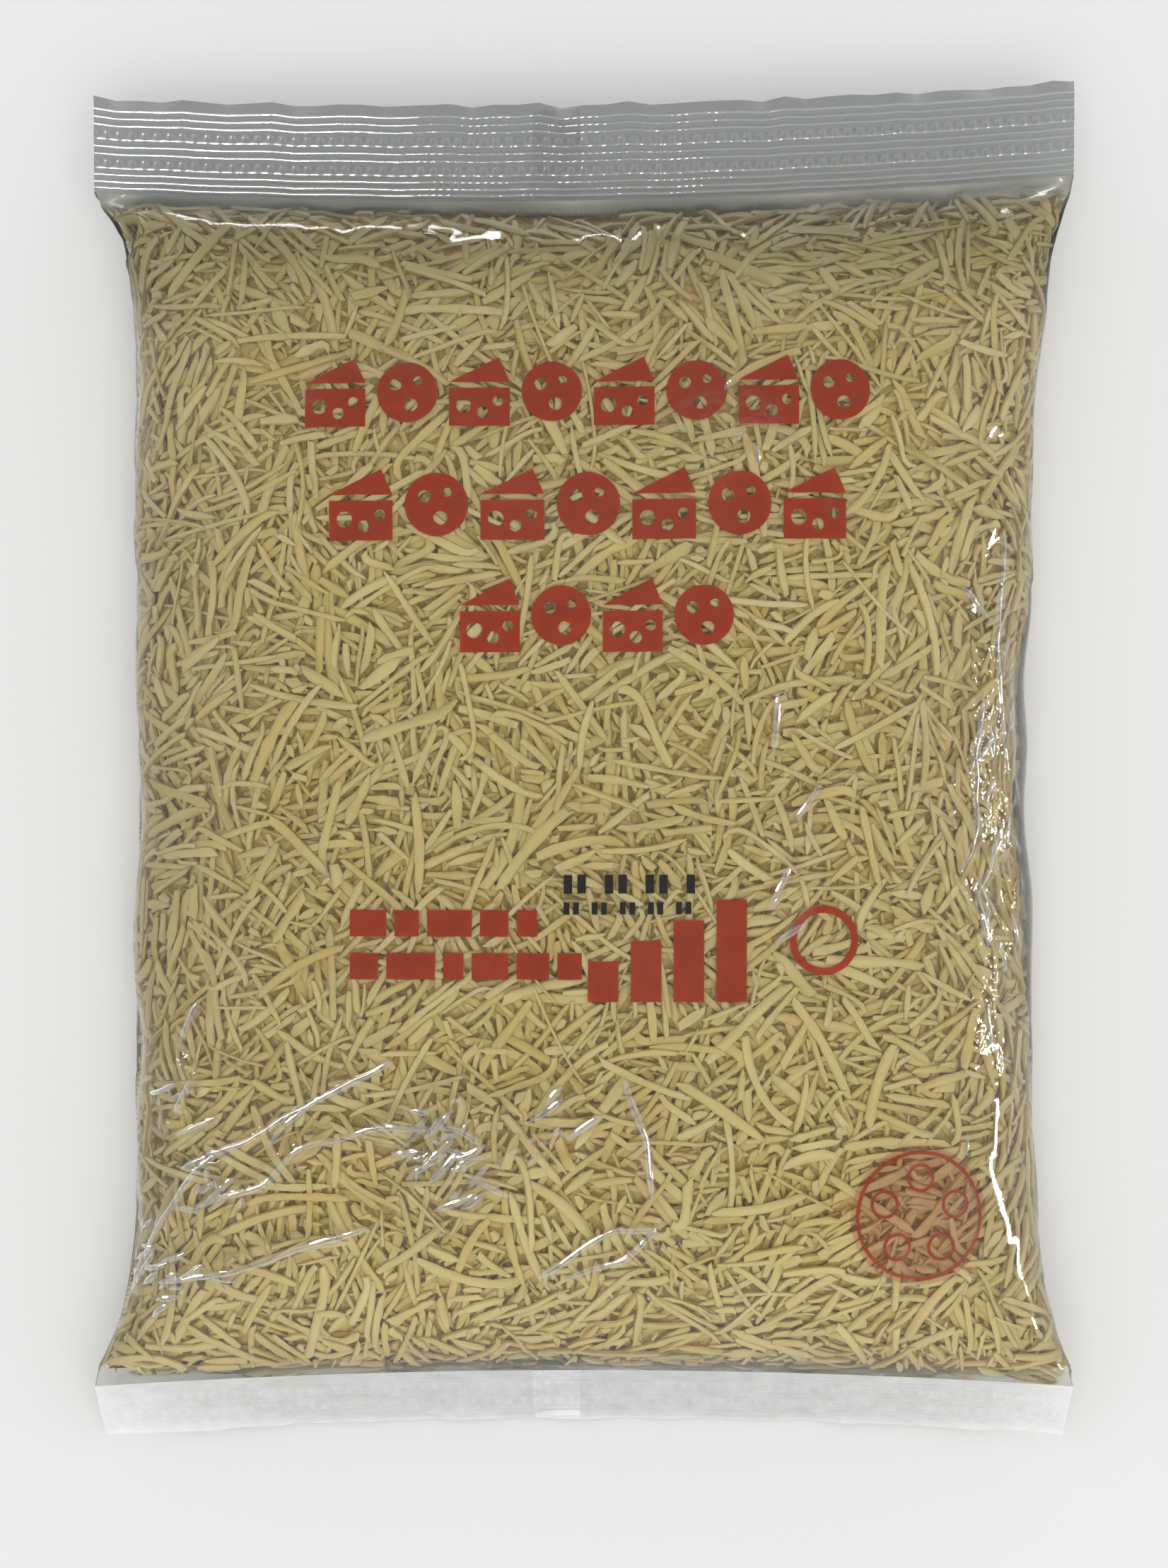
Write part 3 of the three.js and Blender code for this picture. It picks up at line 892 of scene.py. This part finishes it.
def circle(middle, radius, steps):
    """Points round a circle."""
    turn = np.arange(steps) / steps * 2 * math.pi
    return [(middle[0] + radius * math.cos(t), middle[1] + radius * math.sin(t)) for t in turn]


def box(left, low, width, height):
    """A rectangle's corners, from its lower left one."""
    return [(left, low), (left + width, low), (left + width, low + height), (left, low + height)]


def wedge_mark(left, low, width, height):
    """A wedge of cheese: its cut side with holes, and its top as a slim triangle."""
    side = box(left, low, width, height * 0.56)
    holes = [
        circle((left + width * 0.24, low + height * 0.3), height * 0.11, 16),
        circle((left + width * 0.55, low + height * 0.2), height * 0.085, 14),
        circle((left + width * 0.8, low + height * 0.36), height * 0.075, 14),
    ]
    foot = low + height * 0.64
    top = [(left, foot), (left + width, foot), (left + width * 0.82, low + height)]
    return [[side, *holes], [top]]


def wheel_mark(left, low, width, height):
    """A round cheese seen from above, with holes."""
    radius = min(width, height) / 2
    middle = (left + width / 2, low + height / 2)
    holes = [
        circle((middle[0] - radius * 0.38, middle[1] + radius * 0.25), radius * 0.2, 14),
        circle((middle[0] + radius * 0.35, middle[1] + radius * 0.38), radius * 0.15, 12),
        circle((middle[0] + radius * 0.12, middle[1] - radius * 0.42), radius * 0.22, 14),
    ]
    return [[circle(middle, radius, 32), *holes]]


def print_shapes():
    """All red shapes of the front, as loops: an outline, then its holes."""
    shapes = []
    rows = ((8, -69.0, 142.0, 88.0, 17.0), (7, -63.0, 130.0, 60.0, 17.5), (4, -31.0, 70.0, 32.5, 18.0))
    for count, left, width, low, height in rows:
        pitch = width / count
        for n in range(count):
            mark = wedge_mark if n % 2 == 0 else wheel_mark
            shapes += mark(left + n * pitch, low, pitch * 0.84, height)
    for row, widths in ((-37.0, (9, 6, 11, 7, 5)), (-47.5, (7, 12, 5, 9, 8, 6))):
        left = -58.0
        for width in widths:
            shapes.append([box(left, row, width, 6.5)])
            left += width + 2.0
    for n, height in enumerate((10, 15, 20, 25)):
        shapes.append([box(0.5 + n * 10.5, -53.0, 7.5, height)])
    shapes.append([circle((58.5, -38.0), 8.5, 40), circle((58.5, -38.0), 6.7, 40)])
    return shapes


def code_shapes():
    """Two rows of plain dashes, as a date printer leaves them."""
    shapes = []
    for low, height, pitch, count in ((-26.5, 4.6, 3.35, 10), (-31.6, 3.0, 2.3, 15)):
        for n in range(count):
            if n % 3 != 2:
                shapes.append([box(-5.5 + n * pitch, low, pitch * 0.62, height)])
    return shapes


MARK_MIDDLE = (83.0, -106.0)


def mark_shapes():
    """The faint round mark low on the right."""
    return [[circle(MARK_MIDDLE, 17.5, 48)]]


def mark_lines():
    """The ring near the faint mark's edge, and five small rings inside it."""
    shapes = [[circle(MARK_MIDDLE, 16.2, 48), circle(MARK_MIDDLE, 15.3, 48)]]
    for n in range(5):
        turn = n / 5 * 2 * math.pi + 0.3
        spot = (MARK_MIDDLE[0] + 9.5 * math.cos(turn), MARK_MIDDLE[1] + 9.5 * math.sin(turn))
        shapes.append([circle(spot, 3.6, 20), circle(spot, 2.8, 20)])
    return shapes


def add_print(name, shapes, under, sizes):
    """Flat shapes laid on the film's inside. They are cut along the film's own grid, so they follow it."""
    shaped = shape(sizes)
    whole = bmesh.new()
    for loops in shapes:
        part = bmesh.new()
        for loop in loops:
            ring = [part.verts.new((x, y, 0)) for x, y in loop]
            for a, b in zip(ring, ring[1:] + ring[:1]):
                part.edges.new((a, b))
        bmesh.ops.triangle_fill(part, edges=part.edges[:], use_beauty=False, normal=(0, 0, 1))
        xs = [p[0] for p in loops[0]]
        ys = [p[1] for p in loops[0]]
        for axis, values, offset in ((0, xs, FLAT_WIDTH / 2), (1, ys, FILM_LENGTH / 2)):
            first = math.floor((min(values) + offset) / FINE) + 1
            last = math.ceil((max(values) + offset) / FINE)
            normal = (1, 0, 0) if axis == 0 else (0, 1, 0)
            for k in range(first, last):
                at = k * FINE - offset
                spot = (at, 0, 0) if axis == 0 else (0, at, 0)
                geometry = part.verts[:] + part.edges[:] + part.faces[:]
                bmesh.ops.bisect_plane(part, geom=geometry, plane_co=spot, plane_no=normal)
        mesh = bpy.data.meshes.new("part")
        part.to_mesh(mesh)
        part.free()
        whole.from_mesh(mesh)
        bpy.data.meshes.remove(mesh)
    flat = np.array([v.co[:2] for v in whole.verts])
    u, v = flat[:, 0] + FLAT_WIDTH / 2, flat[:, 1] + FILM_LENGTH / 2
    place = sampled(shaped["film"], u, v) - sampled(shaped["film_normals"], u, v) * under * MM
    for vertex, spot in zip(whole.verts, place):
        vertex.co = spot
    whole.normal_update()
    for face in whole.faces:
        if face.normal.z < 0:
            face.normal_flip()
        face.smooth = True
    mesh = bpy.data.meshes.new(name)
    whole.to_mesh(mesh)
    whole.free()
    piece = bpy.data.objects.new(name, mesh)
    bpy.context.scene.collection.objects.link(piece)
    return piece


# ---- materials ----

CLEAR_TINT = (0.985, 0.99, 0.985)  # what clear film lets through


class Nodes:
    """Short calls for building one material's nodes."""

    def __init__(self, name):
        self.material = bpy.data.materials.new(name)
        self.material.use_nodes = True
        self.tree = self.material.node_tree
        self.tree.nodes.clear()
        self.output = self.add("ShaderNodeOutputMaterial")

    def add(self, kind, values=None, **options):
        """Adds a node. values are outputs or numbers for its inputs, and options are its own settings."""
        node = self.tree.nodes.new(kind)
        for key, value in options.items():
            setattr(node, key, value)
        for key, value in (values or {}).items():
            if hasattr(value, "is_output"):
                self.tree.links.new(value, node.inputs[key])
            else:
                node.inputs[key].default_value = value
        return node

    def finish(self, shader):
        self.tree.links.new(shader, self.output.inputs["Surface"])
        return self.material

    def object_place(self):
        return self.add("ShaderNodeTexCoord").outputs["Object"]

    def attribute(self, name):
        return self.add("ShaderNodeAttribute", attribute_name=name).outputs["Fac"]

    def noise(self, scale, detail=3.0, roughness=0.5):
        values = {"Vector": self.object_place(), "Scale": scale, "Detail": detail, "Roughness": roughness}
        return self.add("ShaderNodeTexNoise", values).outputs["Fac"]

    def math(self, kind, a, b=0.0, clamp=False):
        return self.add("ShaderNodeMath", {0: a, 1: b}, operation=kind, use_clamp=clamp).outputs[0]

    def span(self, value, low, high, to_low, to_high):
        values = {"Value": value, "From Min": low, "From Max": high, "To Min": to_low, "To Max": to_high}
        return self.add("ShaderNodeMapRange", values).outputs[0]

    def mix_colour(self, share, a, b):
        node = self.add("ShaderNodeMix", data_type="RGBA")
        for index, value in ((0, share), (6, a), (7, b)):
            if hasattr(value, "is_output"):
                self.tree.links.new(value, node.inputs[index])
            else:
                node.inputs[index].default_value = value
        return node.outputs[2]

    def mix(self, share, a, b):
        return self.add("ShaderNodeMixShader", {0: share, 1: a, 2: b}).outputs[0]

    def bump(self, height, strength, distance):
        values = {"Height": height, "Strength": strength, "Distance": distance}
        return self.add("ShaderNodeBump", values).outputs[0]


def cheese_material(colours):
    """Shreds: pale, waxy and a little see-through, each a shade of its own, with a fine grain, and painted
    shade on those that lie deeper.
    """
    n = Nodes("cheese_shreds")
    grain = n.noise(900.0, 4.0, 0.6)
    patch = n.noise(70.0, 2.0)
    light = n.span(n.attribute("shade"), -2.0, 2.0, 0.0, 1.0)
    light = n.math("ADD", light, n.span(grain, 0.3, 0.7, -0.12, 0.12))
    light = n.math("ADD", light, n.span(patch, 0.3, 0.7, -0.15, 0.15), clamp=True)
    colour = n.mix_colour(light, (*colours.cheese_dark, 1), (*colours.cheese_light, 1))
    colour = n.mix_colour(n.math("MULTIPLY", n.attribute("tip"), 0.25), colour, (*colours.cheese_tip, 1))
    # Painted shade: deeper shreds are mixed towards a darker, yellower colour, in place of the light lost
    # between them
    colour = n.mix_colour(n.math("MULTIPLY", n.attribute("deep"), 0.75), colour, (*colours.cheese_painted_shade, 1))
    rough = n.span(grain, 0.3, 0.7, 0.42, 0.6)
    values = {
        "Base Color": colour,
        "Roughness": rough,
        "Subsurface Weight": 0.5,
        "Subsurface Radius": (0.9, 0.6, 0.25),
        "Subsurface Scale": 0.0025,
        "Specular IOR Level": 0.4,
        "Normal": n.bump(grain, 0.35, 0.00025),
    }
    return n.finish(n.add("ShaderNodeBsdfPrincipled", values).outputs[0])


def bed_material(colours):
    """Packed cheese deeper down, with painted shade for the shreds in front of it, darkest in the hollows
    between its crumbs.
    """
    n = Nodes("packed_cheese")
    crumbs = n.add("ShaderNodeTexVoronoi", {"Vector": n.object_place(), "Scale": 420.0}).outputs["Distance"]
    # Painted shade: darker in the hollows between the crumbs, towards the painted shade colour
    shade = n.span(crumbs, 0.0, 0.6, 0.0, 1.0)
    colour = n.mix_colour(shade, (*colours.cheese_light, 1), (*colours.cheese_painted_shade, 1))
    values = {
        "Base Color": colour,
        "Roughness": n.span(n.noise(300.0), 0.3, 0.7, 0.55, 0.75),
        "Specular IOR Level": 0.3,
        "Normal": n.bump(crumbs, 0.8, -0.001),
    }
    return n.finish(n.add("ShaderNodeBsdfPrincipled", values).outputs[0])


def film_material(name, clear, haze, grey, roughness, ripple, shine):
    """Clear film: it shows what lies behind it, reflects more at a slant, and scatters a little light."""
    n = Nodes(name)
    waves = n.math("ADD", n.noise(120.0, 3.0, 0.55), n.math("MULTIPLY", n.noise(1600.0, 2.0), 0.08))
    folds = n.math("ABSOLUTE", n.math("SUBTRACT", n.noise(240.0, 2.0), 0.5))
    folds = n.math("MULTIPLY", folds, n.math("MULTIPLY", n.attribute("crumple"), 1.6))
    normal = n.bump(n.math("ADD", n.math("MULTIPLY", waves, ripple), folds), 1.0, 0.001)
    shown = n.span(n.attribute("dull"), 0.0, 1.0, 1.0, 0.12)
    gloss = n.add("ShaderNodeBsdfGlossy", {"Color": shown, "Roughness": roughness, "Normal": normal})
    see_through = n.add("ShaderNodeBsdfTransparent", {"Color": (*clear, 1)})
    milky = n.add("ShaderNodeBsdfPrincipled", {"Base Color": (*grey, 1), "Roughness": 0.5, "Normal": normal})
    fresnel = n.add("ShaderNodeFresnel", {"IOR": 1.5, "Normal": normal}).outputs[0]
    mirror = n.math("MULTIPLY", fresnel, shine, clamp=True)
    body = n.mix(haze(n), see_through.outputs[0], milky.outputs[0])
    return n.finish(n.mix(mirror, body, gloss.outputs[0]))


def clear_film_material(colours):
    """The film over the filling: a faint cloud, and haze beside the seals and over the empty margin."""

    def haze(n):
        cloud = n.span(n.noise(25.0, 3.0), 0.35, 0.75, 0.005, 0.035)
        return n.math("ADD", cloud, n.math("MULTIPLY", n.attribute("haze"), 0.5), clamp=True)

    return film_material("clear_film", CLEAR_TINT, haze, tuple(colours.haze), 0.05, 0.1, 1.2)


def folded_film_material(colours):
    """The same film in its sharp folds, which shine more."""

    def haze(n):
        return n.span(n.noise(60.0, 3.0), 0.35, 0.75, 0.01, 0.05)

    return film_material("folded_film", CLEAR_TINT, haze, tuple(colours.haze), 0.07, 0.04, 6.0)


def crimped_film_material(name, clear, cover, colour, shine):
    """Welded film: cloudy in streaks, and a little more on its ribs and over the fin."""

    def haze(n):
        streaks = n.span(n.noise(200.0, 4.0), 0.3, 0.7, cover - 0.06, cover + 0.06)
        ribs = n.math("MULTIPLY", n.attribute("rib"), 0.04)
        cloud = n.math("ADD", streaks, ribs)
        fin = n.math("MULTIPLY", n.attribute("fin"), 0.12)
        return n.math("ADD", cloud, fin, clamp=True)

    return film_material(name, clear, haze, tuple(colour), 0.09, 0.15, shine)


def ink_material(name, colour, cover, tint):
    """Thin ink on film. Light that gets past it is tinted."""
    n = Nodes(name)
    patchy = n.span(n.noise(500.0, 4.0), 0.3, 0.7, cover - 0.06, cover + 0.04)
    tone = n.mix_colour(n.noise(90.0), (*colour, 1), (*(c * 0.82 for c in colour), 1))
    ink = n.add("ShaderNodeBsdfPrincipled", {"Base Color": tone, "Roughness": 0.5, "Specular IOR Level": 0.1})
    tinted = [1 - (1 - c) * tint for c in colour]
    behind = n.add("ShaderNodeBsdfTransparent", {"Color": (*tinted, 1)})
    return n.finish(n.mix(patchy, behind.outputs[0], ink.outputs[0]))


def floor_material(colours):
    """A pale floor, barely uneven in tone."""
    n = Nodes("pale_floor")
    tone = n.mix_colour(n.noise(3.0, 4.0), (*colours.floor, 1), (*(c * 0.97 for c in colours.floor), 1))
    values = {"Base Color": tone, "Roughness": 0.7, "Normal": n.bump(n.noise(400.0), 0.05, 0.0003)}
    return n.finish(n.add("ShaderNodeBsdfPrincipled", values).outputs[0])


# ---- stage ----

FLOOR_HEIGHT = -0.0004  # m, just under the bag's lowest point
CAMERA_DISTANCE = 0.72  # m, above the level that fills the picture's width
SEEN_WIDTH = 0.297  # m, that the picture takes in at that level
SEEN_LEVEL = 0.022  # m, about half way up the bag
SEEN_BELOW = 0.004  # m, how far the picture's middle lies below the bag's


def add_light(name, place, size, power, glint=True):
    """A lamp that faces the bag. A glint only shows in what mirrors it, and any other lamp only lights."""
    lamp = bpy.data.lights.new(name, "AREA")
    lamp.shape = "RECTANGLE"
    lamp.size, lamp.size_y = size
    lamp.energy = power
    light = bpy.data.objects.new(name, lamp)
    light.location = place
    light.rotation_euler = (-Vector(place)).to_track_quat("-Z", "Y").to_euler()
    light.visible_camera = False
    light.visible_glossy = glint
    light.visible_diffuse = not glint
    bpy.context.scene.collection.objects.link(light)


def add_stage(colours):
    """The floor, the lamps, the light around them, and how colours are shown."""
    side = 4.0
    steps = 8
    across = np.linspace(-side, side, steps)
    x, y = np.meshgrid(across, across)
    points = np.stack([x, y, np.full(x.shape, FLOOR_HEIGHT)], -1)
    floor = add_mesh("floor", points.reshape(-1, 3), grid_faces(steps, steps, False))
    floor.data.materials.append(floor_material(colours))
    add_world()
    add_light("soft_key", (0.1, -0.45, 1.5), (1.5, 1.5), 10.5, glint=False)
    add_light("rib_glint", (-0.24, 1.3, 0.36), (0.4, 0.09), 9.0)
    add_light("crease_glint", (-0.84, 0.78, 0.44), (0.78, 0.24), 11.0)
    add_light("right_glint", (1.23, -0.12, 0.38), (0.3, 0.08), 6.0)
    add_light("seal_glint", (0.55, 1.05, 0.45), (0.26, 0.18), 11.0)
    bpy.context.scene.view_settings.view_transform = "Standard"


def add_world():
    """Even light from all round, weaker from straight above, so that the film mirrors little of it."""
    world = bpy.data.worlds.new("studio")
    world.use_nodes = True
    nodes, links = world.node_tree.nodes, world.node_tree.links
    place = nodes.new("ShaderNodeTexCoord")
    apart = nodes.new("ShaderNodeSeparateXYZ")
    links.new(place.outputs["Generated"], apart.inputs[0])
    fade = nodes.new("ShaderNodeMapRange")
    fade.interpolation_type = "SMOOTHSTEP"
    for key, value in (("From Min", 0.75), ("From Max", 0.97), ("To Min", 0.85), ("To Max", 0.4)):
        fade.inputs[key].default_value = value
    links.new(apart.outputs["Z"], fade.inputs["Value"])
    background = nodes["Background"]
    background.inputs["Color"].default_value = (0.97, 0.98, 1.0, 1)
    links.new(fade.outputs[0], background.inputs["Strength"])
    bpy.context.scene.world = world


def add_camera():
    """Looks straight down on the bag, with its top seal towards the top of the picture."""
    scene = bpy.context.scene
    centre = ((CAD_BOX[0][0] + CAD_BOX[1][0]) / 2, (CAD_BOX[0][1] + CAD_BOX[1][1]) / 2)
    camera = bpy.data.cameras.new("camera")
    camera.sensor_fit = "HORIZONTAL"
    camera.sensor_width = 36.0
    camera.lens = camera.sensor_width * CAMERA_DISTANCE / SEEN_WIDTH
    camera.clip_start = 0.01
    holder = bpy.data.objects.new("camera", camera)
    holder.location = (centre[0], centre[1] - SEEN_BELOW, SEEN_LEVEL + CAMERA_DISTANCE)
    scene.collection.objects.link(holder)
    scene.camera = holder


# ---- the add-on ----


class BagSizes(bpy.types.PropertyGroup):
    """What the bag holds, and the sizes and numbers of its shreds"""

    volume: FloatProperty(
        name="Volume",
        description="What the bag holds, in litres",
        default=2.4,
        min=1.0,
        max=4.0,
    )
    settle_steps: IntProperty(
        name="Settling steps",
        description="Steps of the film's settling",
        default=520,
        min=50,
    )
    shred_width: FloatProperty(
        name="Shred width",
        description="Mean width of a shred",
        default=2.0 * MM,
        unit="LENGTH",
        precision=4,
    )
    shred_length: FloatProperty(
        name="Shred length",
        description="Length of the shreds, as a share",
        default=1.0,
    )
    front_shreds: IntProperty(
        name="Front shreds",
        description="Shreds tried at the front and sides",
        default=12500,
    )
    back_shreds: IntProperty(
        name="Back shreds",
        description="Shreds tried at the back",
        default=2600,
    )


def colour_property(name, description, default):
    """A colour that the user can change."""
    return FloatVectorProperty(
        name=name,
        description=description,
        default=default,
        subtype="COLOR",
        min=0,
        max=1,
    )


class BagColours(bpy.types.PropertyGroup):
    """Colours of the cheese, the film, the print and the floor"""

    cheese_light: colour_property("Light shreds", "Colour of the palest shreds", (0.9, 0.77, 0.44))
    cheese_dark: colour_property("Dark shreds", "Colour of the yellowest shreds", (0.8, 0.64, 0.29))
    cheese_tip: colour_property("Shred tips", "Colour that the cut ends lean to", (0.9, 0.81, 0.52))
    # Painted shade: the darker, yellower colour that deeper shreds and the hollows of the packed cheese are
    # mixed towards
    cheese_painted_shade: colour_property("Painted cheese shade", "Painted shade for what lies deepest", (0.78, 0.56, 0.15))
    haze: colour_property("Haze", "Colour of the film's haze", (0.34, 0.33, 0.28))
    crimp: colour_property("Crimped film", "Colour of the welded film", (0.2, 0.21, 0.195))
    ink: colour_property("Red ink", "Colour of the print", (0.6, 0.06, 0.004))
    code: colour_property("Code ink", "Colour of the printer's dashes", (0.012, 0.008, 0.006))
    floor: colour_property("Floor", "Colour of the floor", (0.82, 0.82, 0.8))


def finish_piece(piece, slot, material, *nodes):
    """What every piece needs: its material, body and the nodes that it stands for. Its slot is not used."""
    piece.data.materials.append(material)
    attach(piece, "root")
    if nodes:
        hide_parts(*nodes)


class BAG_OT_film(bpy.types.Operator):
    """Settle the film and build it"""

    bl_idname = "cheese_bag.film"
    bl_label = "Film"

    def execute(self, context):
        scene = context.scene
        piece = add_film(scene.bag_sizes)
        finish_piece(piece, "clear_film", clear_film_material(scene.bag_colours), "film_tube")
        finish_piece(add_folds(scene.bag_sizes), "clear_film", folded_film_material(scene.bag_colours))
        return {"FINISHED"}


class BAG_OT_seals(bpy.types.Operator):
    """Build the crimped seals at both ends"""

    bl_idname = "cheese_bag.seals"
    bl_label = "Crimped seals"

    def execute(self, context):
        scene = context.scene
        crimp = scene.bag_colours.crimp
        material = crimped_film_material("crimped_film", (0.62, 0.64, 0.62), 0.7, crimp, 1.8)
        clearer = crimped_film_material("clearer_crimped_film", CLEAR_TINT, 0.5, (0.94, 0.94, 0.93), 1.3)
        for name, side, node, film in (
            ("top_seal", 1, "top_crimp_seal", material),
            ("bottom_seal", -1, "bottom_crimp_seal", clearer),
        ):
            finish_piece(add_seal(name, side), "crimped_film", film, node)
        finish_piece(add_fin(scene.bag_sizes), "crimped_film", material, "back_fin_seal")
        return {"FINISHED"}


class BAG_OT_cheese(bpy.types.Operator):
    """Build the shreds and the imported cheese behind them"""

    bl_idname = "cheese_bag.cheese"
    bl_label = "Grated cheese"

    def execute(self, context):
        scene = context.scene
        shaped = shape(scene.bag_sizes)
        front = sorted(shaped["placed"][: shaped["front_count"]], key=lambda s: float(s[1].mean()))
        material = cheese_material(scene.bag_colours)
        share = math.ceil(len(front) / FRONT_PARTS)
        parts = [(f"shreds_{n + 1}", front[n * share : (n + 1) * share]) for n in range(FRONT_PARTS)]
        parts.append(("back_shreds", shaped["placed"][shaped["front_count"] :]))
        stood_for = 0
        for seed, (name, shreds) in enumerate(parts):
            piece = add_shreds(name, shreds, seed)
            nodes = [SHRED_NODES[s[5]] for s in shreds if s[5] is not None]
            finish_piece(piece, "cheese", material, *nodes)
            stood_for += len(nodes)
        if stood_for != len(SHRED_NODES):
            raise RuntimeError(f"only {stood_for} of the frame's {len(SHRED_NODES)} single shreds found room")
        bed = add_bed(scene.bag_sizes)
        finish_piece(bed, "cheese", bed_material(scene.bag_colours), "shred_bed")
        return {"FINISHED"}


class BAG_OT_print(bpy.types.Operator):
    """Print the plain marks on the film"""

    bl_idname = "cheese_bag.print"
    bl_label = "Print"

    def execute(self, context):
        scene = context.scene
        colours = scene.bag_colours
        for name, shapes, under, colour, cover, tint in (
            ("red_print", print_shapes(), 0.1, colours.ink, 0.8, 0.8),
            ("code_print", code_shapes(), 0.1, colours.code, 0.95, 0.9),
            ("pale_disc", mark_shapes(), 0.14, colours.ink, 0.12, 0.12),
            ("pale_rings", mark_lines(), 0.1, colours.ink, 0.6, 0.5),
        ):
            piece = add_print(name, shapes, under, scene.bag_sizes)
            finish_piece(piece, "clear_film", ink_material(name, tuple(colour), cover, tint))
        return {"FINISHED"}


class BAG_OT_stage(bpy.types.Operator):
    """Set up the floor, the lights and the camera"""

    bl_idname = "cheese_bag.stage"
    bl_label = "Stage"

    def execute(self, context):
        add_stage(context.scene.bag_colours)
        add_camera()
        return {"FINISHED"}


OPERATORS = (BAG_OT_stage, BAG_OT_film, BAG_OT_seals, BAG_OT_cheese, BAG_OT_print)


class BAG_PT_panel(bpy.types.Panel):
    """Lists the bag's sizes, colours and steps"""

    bl_idname = "BAG_PT_panel"
    bl_label = "Bag of grated cheese"
    bl_space_type = "VIEW_3D"
    bl_region_type = "UI"
    bl_category = "Cheese bag"

    def draw(self, context):
        for group in (context.scene.bag_sizes, context.scene.bag_colours):
            for key in group.__annotations__:
                self.layout.prop(group, key)
        for operator in OPERATORS:
            self.layout.operator(operator.bl_idname)


CLASSES = (BagSizes, BagColours, *OPERATORS, BAG_PT_panel)


def register():
    """Registers the classes and gives the scene the bag's sizes and colours."""
    for cls in CLASSES:
        bpy.utils.register_class(cls)
    bpy.types.Scene.bag_sizes = PointerProperty(type=BagSizes)
    bpy.types.Scene.bag_colours = PointerProperty(type=BagColours)


def unregister():
    """Takes away what register added."""
    del bpy.types.Scene.bag_colours
    del bpy.types.Scene.bag_sizes
    for cls in reversed(CLASSES):
        bpy.utils.unregister_class(cls)


def main():
    register()
    bpy.ops.cheese_bag.stage()
    bpy.ops.cheese_bag.film()
    bpy.ops.cheese_bag.seals()
    bpy.ops.cheese_bag.cheese()
    bpy.ops.cheese_bag.print()


if __name__ == "__main__":
    main()
